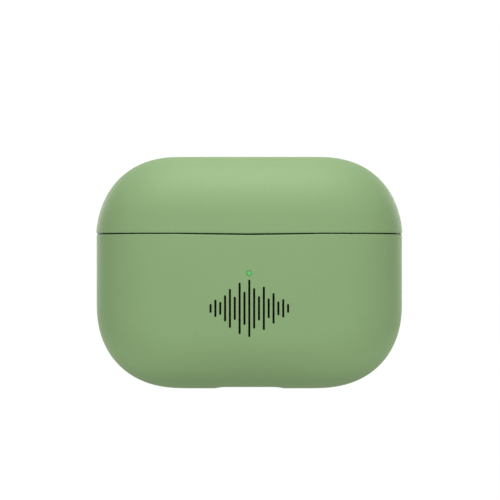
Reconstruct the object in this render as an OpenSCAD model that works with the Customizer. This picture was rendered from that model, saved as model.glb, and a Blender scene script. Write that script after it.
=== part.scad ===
// Wireless earbuds charging case wearing a two-piece soft-touch cover.
// Millimetres. X is the width, the front faces -Y, the hinge is at +Y, +Z is up.
// The origin is the centre of the underside. The lid is closed and both buds are in.
// Left parts lie at -X (side = -1), right parts at +X (side = 1).

/* [Cover] */
// Half width of the cover sleeve
cover_half_w = 31.5; // [31.2:0.05:31.8]
// Half width of the cover cap where it meets the seam
cap_half_w = 31.67; // [31.5:0.01:31.8]
// Half depth of the cover
cover_half_d = 12.1; // [11.9:0.05:12.4]
// Height of the cover, sleeve and cap together
cover_h = 47.7; // [47:0.1:48.5]
// Height of the seam between sleeve and cap
seam_z = 31.88; // [31.6:0.02:32.1]
// Gap between the sleeve and the cap at the seam
seam_gap = 0.2; // [0.16:0.02:0.24]
// Wall thickness of the cover
cover_wall = 1.15; // [1.05:0.01:1.16]
// Width of the hinge cut-out in the back of the cover
cutout_w = 28.6; // [27.6:0.2:30]

/* [Case] */
// Distance from the cover's outside to the case's outside
case_inset = 1.27; // [1.25:0.01:1.3]
// Distance from the cover's outside to the inside of the case body
case_inner = 2.55; // [2.45:0.01:2.6]
// Gap between the case body and its lid
case_gap = 0.1; // [0.08:0.01:0.16]
// Radius of the pairing button
button_r = 2.4; // [2:0.1:2.6]
// Radius of the light pipe of the status light
pipe_r = 0.55; // [0.45:0.05:0.6]

/* [Hinge] */
// Depth position of the hinge axis
hinge_y = 9.95; // [9.9:0.01:9.96]
// Height of the hinge axis
hinge_z = 28.9; // [28.8:0.05:28.95]
// Radius of the hinge pin
pin_r = 0.5; // [0.4:0.05:0.5]

/* [Buds] */
// Distance of each stem from the middle
stem_x = 17.6; // [17.4:0.1:17.8]
// Radius of a stem
stem_r = 2.7; // [2.5:0.05:2.75]
// Radius of a bud head
head_r = 6.8; // [6.5:0.1:6.9]
// Largest radius of an ear tip
tip_r = 5.2; // [4.8:0.1:5.3]

/* [Hidden] */
$fn = 48;

// Outer form: superelliptic corners around a flat core
quarter_steps = 8;              // segments in a quarter of a horizontal section
ring_steps = 8;                 // steps in the rounded bottom or top
low_core_x = 13.68;             // half width of the flat underside
low_reach = cover_half_w - low_core_x;
low_z = 17.573;                 // height at which the lower corners start
low_power = 2.265;
top_core_x = 14.57;             // half width of the flat top
top_reach = cap_half_w - top_core_x;
top_z = 29.814;                 // height at which the upper corners start
top_power = 2.228;
core_y = 1.1;                   // half depth of the flat underside and top
depth_reach = cover_half_d - core_y;
depth_round_h = 12;             // height of the rounding seen from the side
depth_power = 2.1;
end_len = 16;                   // length of the rounded end of a section
end_power = 2.35;

// Case, hinge and fittings
body_top = seam_z - 0.03;
lid_bottom = body_top + case_gap;
liner_bottom = lid_bottom + 0.2;
liner_inset = 2.42;
tray_top = 31.4;
cutout_bottom = 25.3;           // the hinge cut-out runs across the seam
cutout_top = 35.3;
grip_half_w = 11;
grip_half_d = 1.25;
bracket_half_w = 13;
knuckle_x = 8.1;                // inner end of each bracket knuckle
knuckle_r = 0.9;
leaf_half_w = 8;
leaf_top = 34.1;
plate_front = 10.25;            // front and back faces of both hinge plates
plate_back = 10.85;
body_screw_x = 9;
body_screw_y = 7.9;
lid_screw_x = 5.4;
lid_screw_y = 8;
screw_hole_r = 0.6;             // in the hinge plates
screw_bore_r = 0.52;            // in the tray and the liner
led_z = 23.8;
button_z = 15.5;
coil_z = 15.6;
closure_magnet_x = 3.5;
bud_magnet_x = 24.8;
contact_x = 1.15;               // half the pitch of a bud's two contacts

// Buds: a head ball, an outer ball further from the middle, a stem and a nozzle
head_x = 16.2;
head_z = 33.6;
ball_x = 19.6;
ball_z = 34.6;
ball_r = 5.8;
bud_wall = 0.9;
tip_z = 34.4;                   // height of the nozzle axis

case_white = [0.93, 0.93, 0.92];
screw_grey = [0.45, 0.46, 0.48];
board_green = [0.08, 0.3, 0.18];
magnet_grey = [0.6, 0.6, 0.62];

// ---- Outer form ----

function superellipse(u, power) = pow(max(0, 1 - pow(max(0, u), power)), 1 / power);

// One horizontal section; straight is half the length of its straight sides.
function section(half_w, half_d, straight, z) = let(
    last = quarter_steps,
    quarter = [for (k = [0:last]) let(angle = 90 * k / last)
        [straight + (half_w - straight) * pow(cos(angle), 2 / end_power),
            half_d * pow(sin(angle), 2 / end_power)]])
    concat(
        [for (k = [0:last]) [quarter[k].x, quarter[k].y, z]],
        [for (k = [last:-1:0]) [-quarter[k].x, quarter[k].y, z]],
        [for (k = [1:last]) [-quarter[k].x, -quarter[k].y, z]],
        [for (k = [last:-1:1]) [quarter[k].x, -quarter[k].y, z]]);

// The sleeve's full section, inset all round.
function full_section(inset, z) =
    section(cover_half_w - inset, cover_half_d - inset, cover_half_w - end_len, z);

// Half depth of the inset form at a distance from the cover's underside or top.
function half_depth(from_end, inset) = from_end >= depth_round_h
    ? cover_half_d - inset
    : core_y + (depth_reach - inset)
        * superellipse((depth_round_h - from_end) / (depth_round_h - inset), depth_power);

function straight_len(half_w, half_d) = half_w - end_len * pow(half_d / cover_half_d, 0.7);

// u runs from 1 at the underside to 0 where the lower corners start.
function low_half_w(u, inset) = low_core_x + (low_reach - inset) * superellipse(u, low_power);
function low_ring(u, inset) = let(
    z = low_z - u * (low_z - inset),
    outer_z = low_z - u * low_z,
    straight = straight_len(low_half_w(u, 0), half_depth(outer_z, 0)))
    section(low_half_w(u, inset), half_depth(z, inset), straight, z);

// Rings of the lower form, from its underside up to rim_z.
function low_rings(inset, rim_z) = concat(
    [for (i = [0:ring_steps])
        low_ring(pow(sin(90 - 90 * i / ring_steps), 2 / low_power), inset)],
    [full_section(inset, rim_z)]);

// Rings of the upper form, from rim_z up to its top.
function top_half_w(z, inset) = top_core_x
    + (top_reach - inset) * superellipse((z - top_z) / (cover_h - inset - top_z), top_power);
function top_rings(inset, rim_z) = let(
    span = cover_h - inset - top_z,
    start = asin(pow((rim_z - top_z) / span, top_power / 2)))
    [for (i = [0:ring_steps]) let(
        angle = start + (90 - start) * i / ring_steps,
        u = i == ring_steps ? 1 : pow(sin(angle), 2 / top_power),
        z = top_z + u * span,
        outer_z = min(top_z + u * (cover_h - top_z), cover_h),
        straight = straight_len(top_half_w(outer_z, 0), half_depth(cover_h - outer_z, 0)))
        section(top_half_w(z, inset), half_depth(cover_h - z, inset), straight, z)];

// A closed cup between an outer and an inner set of rings, both listed from
// the closed end to the rim when flip is false, and from rim to top otherwise.
module ring_cup(outer, inner, flip = false) {
    count = len(outer[0]);
    last_outer = len(outer) - 1;
    first_inner = len(outer);
    last_inner = first_inner + len(inner) - 1;
    outer_rim = flip ? 0 : last_outer;
    outer_end = flip ? last_outer : 0;
    inner_rim = flip ? first_inner : last_inner;
    inner_end = flip ? last_inner : first_inner;
    function at(ring, j) = ring * count + j % count;
    function cap(ring, reverse) =
        [for (j = [0:count - 1]) at(ring, reverse ? count - 1 - j : j)];
    faces = concat(
        [for (i = [0:last_outer - 1]) for (j = [0:count - 1])
            [at(i, j), at(i + 1, j), at(i + 1, j + 1), at(i, j + 1)]],
        [for (i = [first_inner:last_inner - 1]) for (j = [0:count - 1])
            [at(i, j), at(i, j + 1), at(i + 1, j + 1), at(i + 1, j)]],
        [for (j = [0:count - 1]) flip
            ? [at(outer_rim, j), at(outer_rim, j + 1), at(inner_rim, j + 1), at(inner_rim, j)]
            : [at(outer_rim, j + 1), at(outer_rim, j), at(inner_rim, j), at(inner_rim, j + 1)]],
        [cap(outer_end, flip), cap(inner_end, !flip)]);
    polyhedron([for (ring = concat(outer, inner)) for (point = ring) point], faces,
        convexity = 6);
}

module low_cup(outer_inset, inner_inset, rim_z) {
    ring_cup(low_rings(outer_inset, rim_z), low_rings(inner_inset, rim_z));
}
module top_cup(outer_inset, inner_inset, rim_z) {
    ring_cup(top_rings(outer_inset, rim_z), top_rings(inner_inset, rim_z), true);
}

// ---- Building blocks, each given by its start and end along an axis ----

module box(x0, x1, y0, y1, z0, z1) {
    translate([x0, y0, z0]) cube([x1 - x0, y1 - y0, z1 - z0]);
}
module cyl_x(radius, x0, x1, y, z) {
    translate([x0, y, z]) rotate([0, 90, 0]) cylinder(r = radius, h = x1 - x0);
}
module cyl_y(radius, y0, y1, x, z) {
    translate([x, y1, z]) rotate([90, 0, 0]) cylinder(r = radius, h = y1 - y0);
}
module cyl_z(radius, z0, z1, x = 0, y = 0) {
    translate([x, y, z0]) cylinder(r = radius, h = z1 - z0);
}
module round_rect(width, height, radius) {
    square([width - 2 * radius, height], center = true);
    square([width, height - 2 * radius], center = true);
    for (i = [-1, 1]) for (j = [-1, 1])
        translate([i * (width / 2 - radius), j * (height / 2 - radius)]) circle(radius);
}
module slab_y(width, height, radius, z, y0, y1) {
    translate([0, y1, z]) rotate([90, 0, 0]) linear_extrude(y1 - y0)
        round_rect(width, height, radius);
}
module slab_z(width, depth, radius, z0, z1) {
    translate([0, 0, z0]) linear_extrude(z1 - z0) round_rect(width, depth, radius);
}

// Two copies, at -x and +x.
module pair_x(x) {
    for (side = [-1, 1]) translate([side * x, 0, 0]) children();
}
// Turns a part drawn at +X to its own side.
module on_side(side) {
    mirror([side > 0 ? 0 : 1, 0, 0]) children();
}

// ---- Cover ----

// Space behind the hinge axis that the opening lid sweeps through.
module swing_relief() {
    difference() {
        box(-40, 40, hinge_y + 0.5, 20, hinge_z, 40);
        cyl_x(3, -41, 41, hinge_y, hinge_z);
    }
}

// Cutter for one end of the hinge cut-out; the other end runs past the seam.
cutter_h = 16;
module hinge_cutter(z) {
    slab_y(cutout_w, cutter_h, 2.4, z, 8, 14);
}

module cover_sleeve() {
    color([0.55, 0.67, 0.48]) difference() {
        low_cup(0, cover_wall, seam_z - seam_gap / 2);
        slab_z(13.6, 7.8, 2.05, -1, 4);
        cyl_y(pipe_r + 0.07, -14, -10, 0, led_z);
        cyl_y(button_r + 0.6, 10, 14, 0, button_z);
        hinge_cutter(cutout_bottom + cutter_h / 2);
        swing_relief();
    }
}

module cover_cap() {
    fit = 0.1;
    color([0.57, 0.69, 0.5]) difference() {
        top_cup(0, cover_wall, seam_z + seam_gap / 2);
        hinge_cutter(cutout_top - cutter_h / 2);
        box(-grip_half_w - fit, grip_half_w + fit, -grip_half_d - fit, grip_half_d + fit,
            46, cover_h - 0.8);
    }
}

module cap_grip_strip() {
    color([0.93, 0.93, 0.9])
        box(-grip_half_w, grip_half_w, -grip_half_d, grip_half_d,
            cover_h - case_inset + 0.05, cover_h - 0.82);
}

// ---- Case ----

module case_body_shell() {
    notch_x = bracket_half_w + 0.1;
    color(case_white) difference() {
        low_cup(case_inset, case_inner, body_top);
        slab_z(9.4, 3.7, 1.84, 0, 4);
        cyl_y(pipe_r + 0.03, -12, -8, 0, led_z);
        cyl_y(button_r + 0.06, 8, 12, 0, button_z);
        box(-notch_x, notch_x, 7.5, 12, 25.5, 33);
        swing_relief();
    }
}

module case_lid_shell() {
    notch_x = leaf_half_w + 0.1;
    color(case_white) difference() {
        top_cup(case_inset, 2.3, lid_bottom);
        box(-notch_x, notch_x, 7.5, 12, 31, leaf_top + 0.05);
    }
}

// Lining of the lid, with a magnet holder at the front and screw bosses at the back.
module lid_liner() {
    color([0.86, 0.86, 0.85]) difference() {
        union() {
            top_cup(liner_inset, 3.3, liner_bottom);
            box(-7, 7, -9.2, -7.1, liner_bottom, 34.8);
            pair_x(lid_screw_x) cyl_z(1.3, 34.2, 36.8, 0, lid_screw_y);
        }
        box(-6.1, 6.1, -8.9, -7.35, 32.6, 36);
        box(-leaf_half_w, leaf_half_w, 6.5, 12, 30, leaf_top + 0.05);
        pair_x(lid_screw_x) cyl_z(screw_bore_r, 33, 36.2, 0, lid_screw_y);
    }
}

// The head ball and outer ball of a right bud, grown or shrunk.
module bud_balls(grow) {
    translate([head_x, 0, head_z]) sphere(head_r + grow);
    translate([ball_x, 0, ball_z]) sphere(ball_r + grow);
}

// The space of a bud, grown at the balls, stem and tip and cut off at top.
module bud_pocket(side, grow, stem_grow, tip_grow, stem_bottom, top) {
    on_side(side) intersection() {
        union() {
            bud_balls(grow);
            cyl_z(stem_r + stem_grow, stem_bottom, stem_bottom + 24, stem_x);
            cyl_x(tip_r + grow, 3 - tip_grow, 12, 0, tip_z);
        }
        box(-40, 40, -9, 9, 0, top);
    }
}

module cradle_tray() {
    color([0.88, 0.88, 0.87]) difference() {
        union() {
            translate([0, 0, 30.3]) linear_extrude(tray_top - 30.3)
                polygon([for (point = full_section(2.66, 0)) [point.x, point.y]]);
            for (side = [-1, 1])
                bud_pocket(side, grow = 1.1, stem_grow = 1, tip_grow = 0.9,
                    stem_bottom = 8.3, top = tray_top);
            pair_x(bud_magnet_x) cyl_z(2, 20, 30.4);
            // Screw rail, its two uprights and a wall in front of the hinge
            box(-12.6, 12.6, 6.6, 9.2, 22.5, 25.6);
            pair_x(11.8) box(-0.8, 0.8, 6.6, 8.6, 25, 30.5);
            box(-12.9, 12.9, 8.25, 8.68, 26.8, 30.4);
        }
        for (side = [-1, 1])
            bud_pocket(side, grow = 0.35, stem_grow = 0.3, tip_grow = 0.2,
                stem_bottom = 7, top = 40);
        pair_x(bud_magnet_x) cyl_z(1.46, 19, 25.1);
        pair_x(body_screw_x) cyl_z(screw_bore_r, 23, 27, 0, body_screw_y);
        box(-13.3, 13.3, 8.75, 12, 25.9, 33);
    }
}

// ---- Hinge ----

module hinge_body_bracket() {
    bottom = 25.65;
    color([0.72, 0.73, 0.75]) difference() {
        union() {
            box(-bracket_half_w, bracket_half_w, plate_front, plate_back, bottom, 27.4);
            for (side = [-1, 1]) on_side(side) {
                box(knuckle_x, bracket_half_w, plate_front, plate_back, 27, hinge_z);
                cyl_x(knuckle_r, knuckle_x, bracket_half_w, hinge_y, hinge_z);
            }
            box(-10.9, 10.9, 6.7, 10.4, bottom, 26.2);
        }
        cyl_x(pin_r + 0.02, -14, 14, hinge_y, hinge_z);
        pair_x(body_screw_x) cyl_z(screw_hole_r, 25, 27, 0, body_screw_y);
    }
}

module hinge_lid_leaf() {
    color([0.74, 0.75, 0.77]) difference() {
        union() {
            box(-leaf_half_w, leaf_half_w, plate_front, plate_back, hinge_z, leaf_top);
            cyl_x(knuckle_r, -leaf_half_w, leaf_half_w, hinge_y, hinge_z);
            box(-7.6, 7.6, 6.7, 10.4, 33.6, leaf_top);
        }
        cyl_x(pin_r + 0.05, -9, 9, hinge_y, hinge_z);
        pair_x(lid_screw_x) cyl_z(screw_hole_r, 33, 35, 0, lid_screw_y);
    }
}

module hinge_pin() {
    color([0.6, 0.61, 0.63]) cyl_x(pin_r, -12.9, 12.9, hinge_y, hinge_z);
}

// Head up, with the underside of the head at z = 0.
module small_screw() {
    cyl_z(0.5, -2.5, 0.1);
    difference() {
        cyl_z(0.95, 0, 0.5);
        translate([0, 0, 0.3]) cylinder(r = 0.42, h = 0.4, $fn = 6);
    }
}
module hinge_body_screws() {
    color(screw_grey) pair_x(body_screw_x) translate([0, body_screw_y, 26.22]) small_screw();
}
module hinge_lid_screws() {
    color(screw_grey) pair_x(lid_screw_x) translate([0, lid_screw_y, 33.58])
        mirror([0, 0, 1]) small_screw();
}

// ---- Electronics ----

module battery_cell() {
    color([0.2, 0.21, 0.24]) difference() {
        slab_z(25, 9.2, 1.6, 9, 26.4);
        box(-9, 9, -6, -4.45, 11, 24);
    }
}

module main_board() {
    front = 6.6;
    back = 7.4;
    color(board_green) {
        difference() {
            box(-12, 12, front, back, 9, 22.3);
            pair_x(10.8) cyl_y(0.6, 6, 8, 0, 10.2);
        }
        // Two components on the back, two on the front
        box(-9, -5, back, 8.1, 12, 16);
        box(5, 8.4, back, 8, 17, 20.6);
        box(-7, -1, 5.7, front, 17, 21);
        box(2.5, 7.5, 5.5, front, 11, 15);
    }
}

module tact_switch() {
    color([0.75, 0.75, 0.76]) difference() {
        box(-1.7, 1.7, 7.42, 8.3, button_z - 1.7, button_z + 1.7);
        cyl_y(0.86, 7.5, 9, 0, button_z);
    }
}
module tact_plunger() {
    color([0.15, 0.15, 0.16]) cyl_y(0.8, 7.9, 8.93, 0, button_z);
}
module pairing_button() {
    color([0.9, 0.9, 0.89]) {
        cyl_y(button_r, 9.3, 10.8, 0, button_z);
        cyl_y(button_r + 0.5, 8.95, 9.45, 0, button_z);
    }
}

// Four nested turns.
module charging_coil() {
    pitch = 0.8;
    color([0.72, 0.42, 0.22]) for (k = [0:3]) let(grow = pitch * k) difference() {
        slab_y(15.7 + 2 * grow, 8.1 + 2 * grow, 2.4 + grow, coil_z, 8.7, 9.15);
        slab_y(14.3 + 2 * grow, 6.7 + 2 * grow, 1.7 + grow, coil_z, 8, 10);
    }
}
module ferrite_sheet() {
    color([0.16, 0.16, 0.17]) difference() {
        slab_y(20.9, 12.6, 1.6, coil_z, 8.32, 8.62);
        cyl_y(3.2, 8, 9, 0, button_z);
    }
}

module charge_port_shell() {
    color([0.7, 0.71, 0.73]) difference() {
        slab_z(9.2, 3.5, 1.74, 1.75, 8.2);
        slab_z(8.5, 2.8, 1.39, 1, 9);
    }
}
module charge_port_tongue() {
    color([0.1, 0.1, 0.11]) {
        box(-3.2, 3.2, -0.35, 0.35, 2.9, 7.4);
        slab_z(8.46, 2.76, 1.37, 7.2, 8.2);
    }
}
module port_board() {
    color(board_green) box(-7, 7, -3.5, 6.5, 8.25, 8.8);
}

module status_led() {
    color([0.38, 0.74, 0.39]) box(-0.8, 0.8, -9.47, -8.92, led_z - 0.5, led_z + 0.5);
}
module light_pipe() {
    color([0.4, 0.78, 0.42]) cyl_y(pipe_r, -(cover_half_d - case_inset), -9.52, 0, led_z);
}
module led_board() {
    color(board_green) box(-5, 10.5, -8.9, -8.55, 20, 28.2);
}
module hall_sensor() {
    color([0.12, 0.12, 0.13]) box(7.6, 9.6, -8.53, -7.9, 26.6, 28);
}

module body_closure_magnets() {
    color(magnet_grey) pair_x(closure_magnet_x) box(-2.4, 2.4, -9, -7.5, 28.45, 30.25);
}
module lid_closure_magnets() {
    color(magnet_grey) pair_x(closure_magnet_x) box(-2.4, 2.4, -8.85, -7.45, 32.65, 34.45);
}
module bud_magnets() {
    color(magnet_grey) pair_x(bud_magnet_x) cyl_z(1.4, 20.4, 24.9);
}

// Two copies under a stem, one for each contact.
module contact_pair(side) {
    translate([side * stem_x, 0, 0]) pair_x(contact_x) children();
}
module contact_block(side) {
    middle = side * stem_x;
    color([0.16, 0.16, 0.17]) difference() {
        box(middle - 2.9, middle + 2.9, -1.7, 1.7, 6.1, 8.2);
        contact_pair(side) cyl_z(0.5, 6.4, 9.4);
    }
}
module contact_pins(side) {
    color([0.85, 0.7, 0.4]) contact_pair(side) {
        cyl_z(0.44, 6.6, 8.9);
        translate([0, 0, 8.9]) cylinder(r1 = 0.44, r2 = 0.25, h = 0.13);
    }
}

// ---- Buds ----

module bud_shell(side) {
    color([0.94, 0.94, 0.93]) on_side(side) difference() {
        union() {
            bud_balls(0);
            cyl_z(stem_r, 9.4, 31.4, stem_x);
            cyl_x(3, 7, 12, 0, tip_z);
        }
        bud_balls(-bud_wall);
        cyl_z(stem_r - 0.8, 11, 31, stem_x);
        cyl_x(2.2, 6, 13, 0, tip_z);
        cyl_z(1.9, 37, 42, ball_x);
    }
}

// Columns: radius, distance from the middle of the case along X.
tip_profile = [
    [2.3, 3.2], [3.3, 3.2], [4.3, 3.7], [tip_r - 0.2, 5], [tip_r, 6.6],
    [tip_r - 0.1, 8.2], [tip_r - 0.6, 8.2], [tip_r - 0.6, 6.6], [tip_r - 0.9, 5.4],
    [3.9, 4.6], [3.75, 4.9], [3.75, 8.3], [3.05, 8.3], [3.05, 6.9], [3.05, 4.2], [2.3, 4.2]];
module ear_tip(side) {
    color([0.9, 0.9, 0.89]) on_side(side) translate([0, 0, tip_z]) rotate([0, 90, 0])
        rotate_extrude() polygon(tip_profile);
}

module nozzle_mesh(side) {
    color([0.15, 0.15, 0.16]) on_side(side) cyl_x(2.15, 7.05, 7.3, 0, tip_z);
}
module vent_mesh(side) {
    color([0.13, 0.13, 0.14]) cyl_z(1.85, 39.6, 39.95, side * ball_x);
}
module driver(side) {
    color([0.35, 0.35, 0.38]) on_side(side) {
        cyl_x(3.9, 12.6, 13.4, 0, head_z);
        cyl_x(2.6, 13.4, 14.4, 0, head_z);
    }
}
module bud_cell(side) {
    color([0.55, 0.56, 0.58]) on_side(side) cyl_x(4.4, 15, 18.4, 0, head_z + 0.4);
}
module stem_board(side) {
    middle = side * stem_x;
    color(board_green) box(middle - 1.5, middle + 1.5, -0.3, 0.3, 11.2, 27.2);
}
module bud_contacts(side) {
    color([0.8, 0.8, 0.82]) contact_pair(side) cyl_z(0.75, 9.05, 9.39);
}

cover_sleeve();
cover_cap();
cap_grip_strip();
case_body_shell();
case_lid_shell();
lid_liner();
cradle_tray();
hinge_body_bracket();
hinge_lid_leaf();
hinge_pin();
hinge_body_screws();
hinge_lid_screws();
battery_cell();
main_board();
tact_switch();
tact_plunger();
pairing_button();
charging_coil();
ferrite_sheet();
charge_port_shell();
charge_port_tongue();
port_board();
status_led();
light_pipe();
led_board();
body_closure_magnets();
lid_closure_magnets();
hall_sensor();
bud_magnets();
contact_block(-1);  // left_contact_block
contact_block(1);  // right_contact_block
contact_pins(-1);  // left_contact_pins
contact_pins(1);  // right_contact_pins
bud_shell(-1);  // left_bud_shell
bud_shell(1);  // right_bud_shell
ear_tip(-1);  // left_ear_tip
ear_tip(1);  // right_ear_tip
nozzle_mesh(-1);  // left_nozzle_mesh
nozzle_mesh(1);  // right_nozzle_mesh
vent_mesh(-1);  // left_vent_mesh
vent_mesh(1);  // right_vent_mesh
driver(-1);  // left_driver
driver(1);  // right_driver
bud_cell(-1);  // left_bud_cell
bud_cell(1);  // right_bud_cell
stem_board(-1);  // left_stem_board
stem_board(1);  // right_stem_board
bud_contacts(-1);  // left_bud_contacts
bud_contacts(1);  // right_bud_contacts
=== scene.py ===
"""A pair of earbuds in a charging case, inside a two-part green cover.

Sizes are in millimetres until a mesh is made. x runs across the width with the right bud at +x,
-y is the front with the status light, +y the hinge side, and z is height above the underside.
The lower half is the sleeve over the case body; the upper half is the cap over the lid.
"""
import itertools
import math
from collections import namedtuple

import bmesh
import bpy
import numpy as np
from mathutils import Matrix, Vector


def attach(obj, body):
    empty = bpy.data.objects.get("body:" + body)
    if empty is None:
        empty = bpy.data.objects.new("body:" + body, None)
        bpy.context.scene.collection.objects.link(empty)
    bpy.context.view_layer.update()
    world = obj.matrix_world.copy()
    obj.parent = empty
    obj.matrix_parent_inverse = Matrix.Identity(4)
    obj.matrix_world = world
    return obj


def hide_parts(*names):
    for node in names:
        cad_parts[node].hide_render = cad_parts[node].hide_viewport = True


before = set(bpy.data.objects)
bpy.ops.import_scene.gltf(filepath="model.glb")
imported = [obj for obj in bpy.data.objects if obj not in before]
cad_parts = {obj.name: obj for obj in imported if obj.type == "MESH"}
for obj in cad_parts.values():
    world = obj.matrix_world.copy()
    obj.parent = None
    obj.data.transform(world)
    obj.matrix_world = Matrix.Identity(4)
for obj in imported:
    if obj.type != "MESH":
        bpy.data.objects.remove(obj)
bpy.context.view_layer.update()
MM = 0.001

# ---------------------------------------------------------------- driving dimensions
HALF_WIDTH, CAP_HALF_WIDTH, HALF_DEPTH, HEIGHT = 31.5, 31.67, 12.1, 47.7
END_LENGTH, END_POWER = 16.0, 2.35        # each rounded end in plan: its length and its curve
STRAIGHT = HALF_WIDTH - END_LENGTH        # half length of the flat front and back
END_HALF_DEPTH = 1.1                      # half depth of the flat closed end
DEPTH_ROUNDING, DEPTH_POWER = 12.0, 2.1   # height over which the depth rounds, and its curve
COVER_WALL, CASE_INSET = 1.15, 1.27
COVER_NOTCH_HALF = 14.3                   # notch in the back of the cover's rims
DIP_HALF = 14.3                           # shallow dip in the middle of the cover's front rim
RIM_ROUNDING = 0.22
HINGE_Y, HINGE_Z = 9.95, 28.9
HINGE_RELIEF = 2.96                       # radius about the hinge that the lower rims stay within
LED_Z, BUTTON_Z, COIL_Z = 23.8, 15.5, 15.6
STEM_X, STEM_RADIUS = 17.6, 2.7
HEAD_X, HEAD_Z, TIP_Z = 16.2, 33.6, 34.4
VENT_X = 19.6                             # the outer ball of the head and the vent above it
PIN_OFFSET = 1.15                         # charging contacts to each side of the stem's middle
BUD_MAGNET_X = 24.8
BRACKET_SCREW, LEAF_SCREW = (9, 7.9), (5.4, 8)
HINGE_PLATE = (10.25, 10.85)              # y span of the hinge's upright plates
KNUCKLE_RADIUS = 0.9
BRACKET_HALF, LEAF_HALF = 13, 8


# ---------------------------------------------------------------- the outer form
def arch(share, power):
    """Superellipse: 1 at share 0, falling to 0 at share 1."""
    share = np.clip(share, 0.0, 1.0)
    return np.maximum(1.0 - share ** power, 0.0) ** (1.0 / power)


class Form:
    """One half of the form. direction is +1 or -1 along z, from its closed end to its rim."""

    def __init__(self, end_z, direction, half_width, end_half, rounding, power, collar_z):
        self.end_z, self.direction = end_z, direction
        self.end_half, self.spread = end_half, half_width - end_half
        self.rounding, self.power, self.collar_z = rounding, power, collar_z

    @staticmethod
    def half_depth(distance, inset):
        share = (DEPTH_ROUNDING - distance) / (DEPTH_ROUNDING - inset)
        return END_HALF_DEPTH + (HALF_DEPTH - END_HALF_DEPTH - inset) * arch(share, DEPTH_POWER)

    def section(self, z, inset):
        """Half width, half depth and half length of the straights at height z."""
        distance = (np.asarray(z, float) - self.end_z) * self.direction
        share = np.clip((self.rounding - distance) / (self.rounding - inset), 0, 1)
        curve = arch(share, self.power)
        outer_depth = self.half_depth(self.rounding * (1 - share), 0)
        straight = (self.end_half + self.spread * curve
                    - END_LENGTH * (outer_depth / HALF_DEPTH) ** 0.7)
        half_width = self.end_half + (self.spread - inset) * curve
        return half_width, self.half_depth(distance, inset), straight

    def face_y(self, x, z, inset):
        """|y| of the surface at (x, z)."""
        half_width, half_depth, straight = self.section(z, inset)
        return half_depth * arch((np.abs(x) - straight) / (half_width - straight), END_POWER)

    def underside_z(self, x, y, inset):
        """z of the lower form's underside at (x, y), by bisection."""
        x, y = np.abs(x), np.abs(y)
        low, high = np.full(x.shape, inset), np.full(x.shape, 17.0)

        def outside(z):
            half_width, half_depth, straight = self.section(z, inset)
            end = np.clip((x - straight) / (half_width - straight), 0, None)
            return end ** END_POWER + (y / half_depth) ** END_POWER > 1

        flat = ~outside(low)
        for _ in range(44):
            middle = 0.5 * (low + high)
            out = outside(middle)
            low = np.where(out, middle, low)
            high = np.where(out, high, middle)
        return np.where(flat, inset, 0.5 * (low + high))


LOWER = Form(end_z=0.0, direction=1, half_width=HALF_WIDTH, end_half=13.68,
             rounding=17.573, power=2.265, collar_z=21.0)
UPPER = Form(end_z=HEIGHT, direction=-1, half_width=CAP_HALF_WIDTH, end_half=14.57,
             rounding=HEIGHT - 29.814, power=2.228, collar_z=38.6)


# ---------------------------------------------------------------- mesh helpers
def link_mesh(name, mesh):
    mesh.update()
    mesh.shade_smooth()
    obj = bpy.data.objects.new(name, mesh)
    bpy.context.scene.collection.objects.link(obj)
    return obj


def mesh_piece(name, points, faces, tidy=True):
    """Makes an object from millimetre points; tidy drops loose points and sets the normals."""
    mesh = bpy.data.meshes.new(name)
    mesh.from_pydata((np.array(points, float) * MM).tolist(), [], faces)
    if tidy:
        bm = bmesh.new()
        bm.from_mesh(mesh)
        loose = [v for v in bm.verts if not v.link_faces]
        bmesh.ops.delete(bm, geom=loose, context="VERTS")
        bmesh.ops.dissolve_degenerate(bm, dist=1e-8, edges=bm.edges)
        bmesh.ops.recalc_face_normals(bm, faces=bm.faces)
        bm.to_mesh(mesh)
        bm.free()
    return link_mesh(name, mesh)


def paint(obj, *materials):
    for material in materials:
        obj.data.materials.append(material)
    return obj


def merge(name, pieces):
    """Joins pieces into one object, keeping each one's material slots."""
    materials, points, faces, indices = [], [], [], []
    for piece in pieces:
        first = len(points)
        slots = []
        for material in piece.data.materials:
            if material not in materials:
                materials.append(material)
            slots.append(materials.index(material))
        points += [tuple(v.co) for v in piece.data.vertices]
        for polygon in piece.data.polygons:
            faces.append([first + i for i in polygon.vertices])
            indices.append(slots[polygon.material_index] if slots else 0)
    mesh = bpy.data.meshes.new(name)
    mesh.from_pydata(points, [], faces)
    for material in materials:
        mesh.materials.append(material)
    mesh.polygons.foreach_set("material_index", indices)
    for piece in pieces:
        data = piece.data
        bpy.data.objects.remove(piece)
        bpy.data.meshes.remove(data)
    return link_mesh(name, mesh)


def place(obj, body, material=None, node=None):
    """Puts a finished piece on its moving body, with its finish, in place of a CAD node."""
    if material is not None:
        obj.data.materials.clear()
        obj.data.materials.append(material)
    if node:
        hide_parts(node)
    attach(obj, body)


def stitch(rows, closed=False):
    """Faces between successive loops of point numbers; a loop may be a single point."""
    faces = []
    for a, b in zip(rows, rows[1:] + rows[:1] if closed else rows[1:]):
        count = max(len(a), len(b))
        for i in range(count):
            j = (i + 1) % count
            if len(a) == 1:
                faces.append([a[0], b[i], b[j]])
            elif len(b) == 1:
                faces.append([a[i], a[j], b[0]])
            else:
                faces.append([a[i], a[j], b[j], b[i]])
    return faces


def loops_of(rows, size):
    """Point numbers of equal loops listed one after another."""
    return [list(range(i * size, (i + 1) * size)) for i in range(rows)]


def bend(start, corner, end, share):
    """A point on the curve that rounds a corner."""
    return (1 - share) ** 2 * start + 2 * share * (1 - share) * corner + share * share * end


# ---------------------------------------------------------------- shells
Rim = namedtuple("Rim", "z notch_half notch_z floor_radius edge_radius dip", defaults=[0.0])


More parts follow.
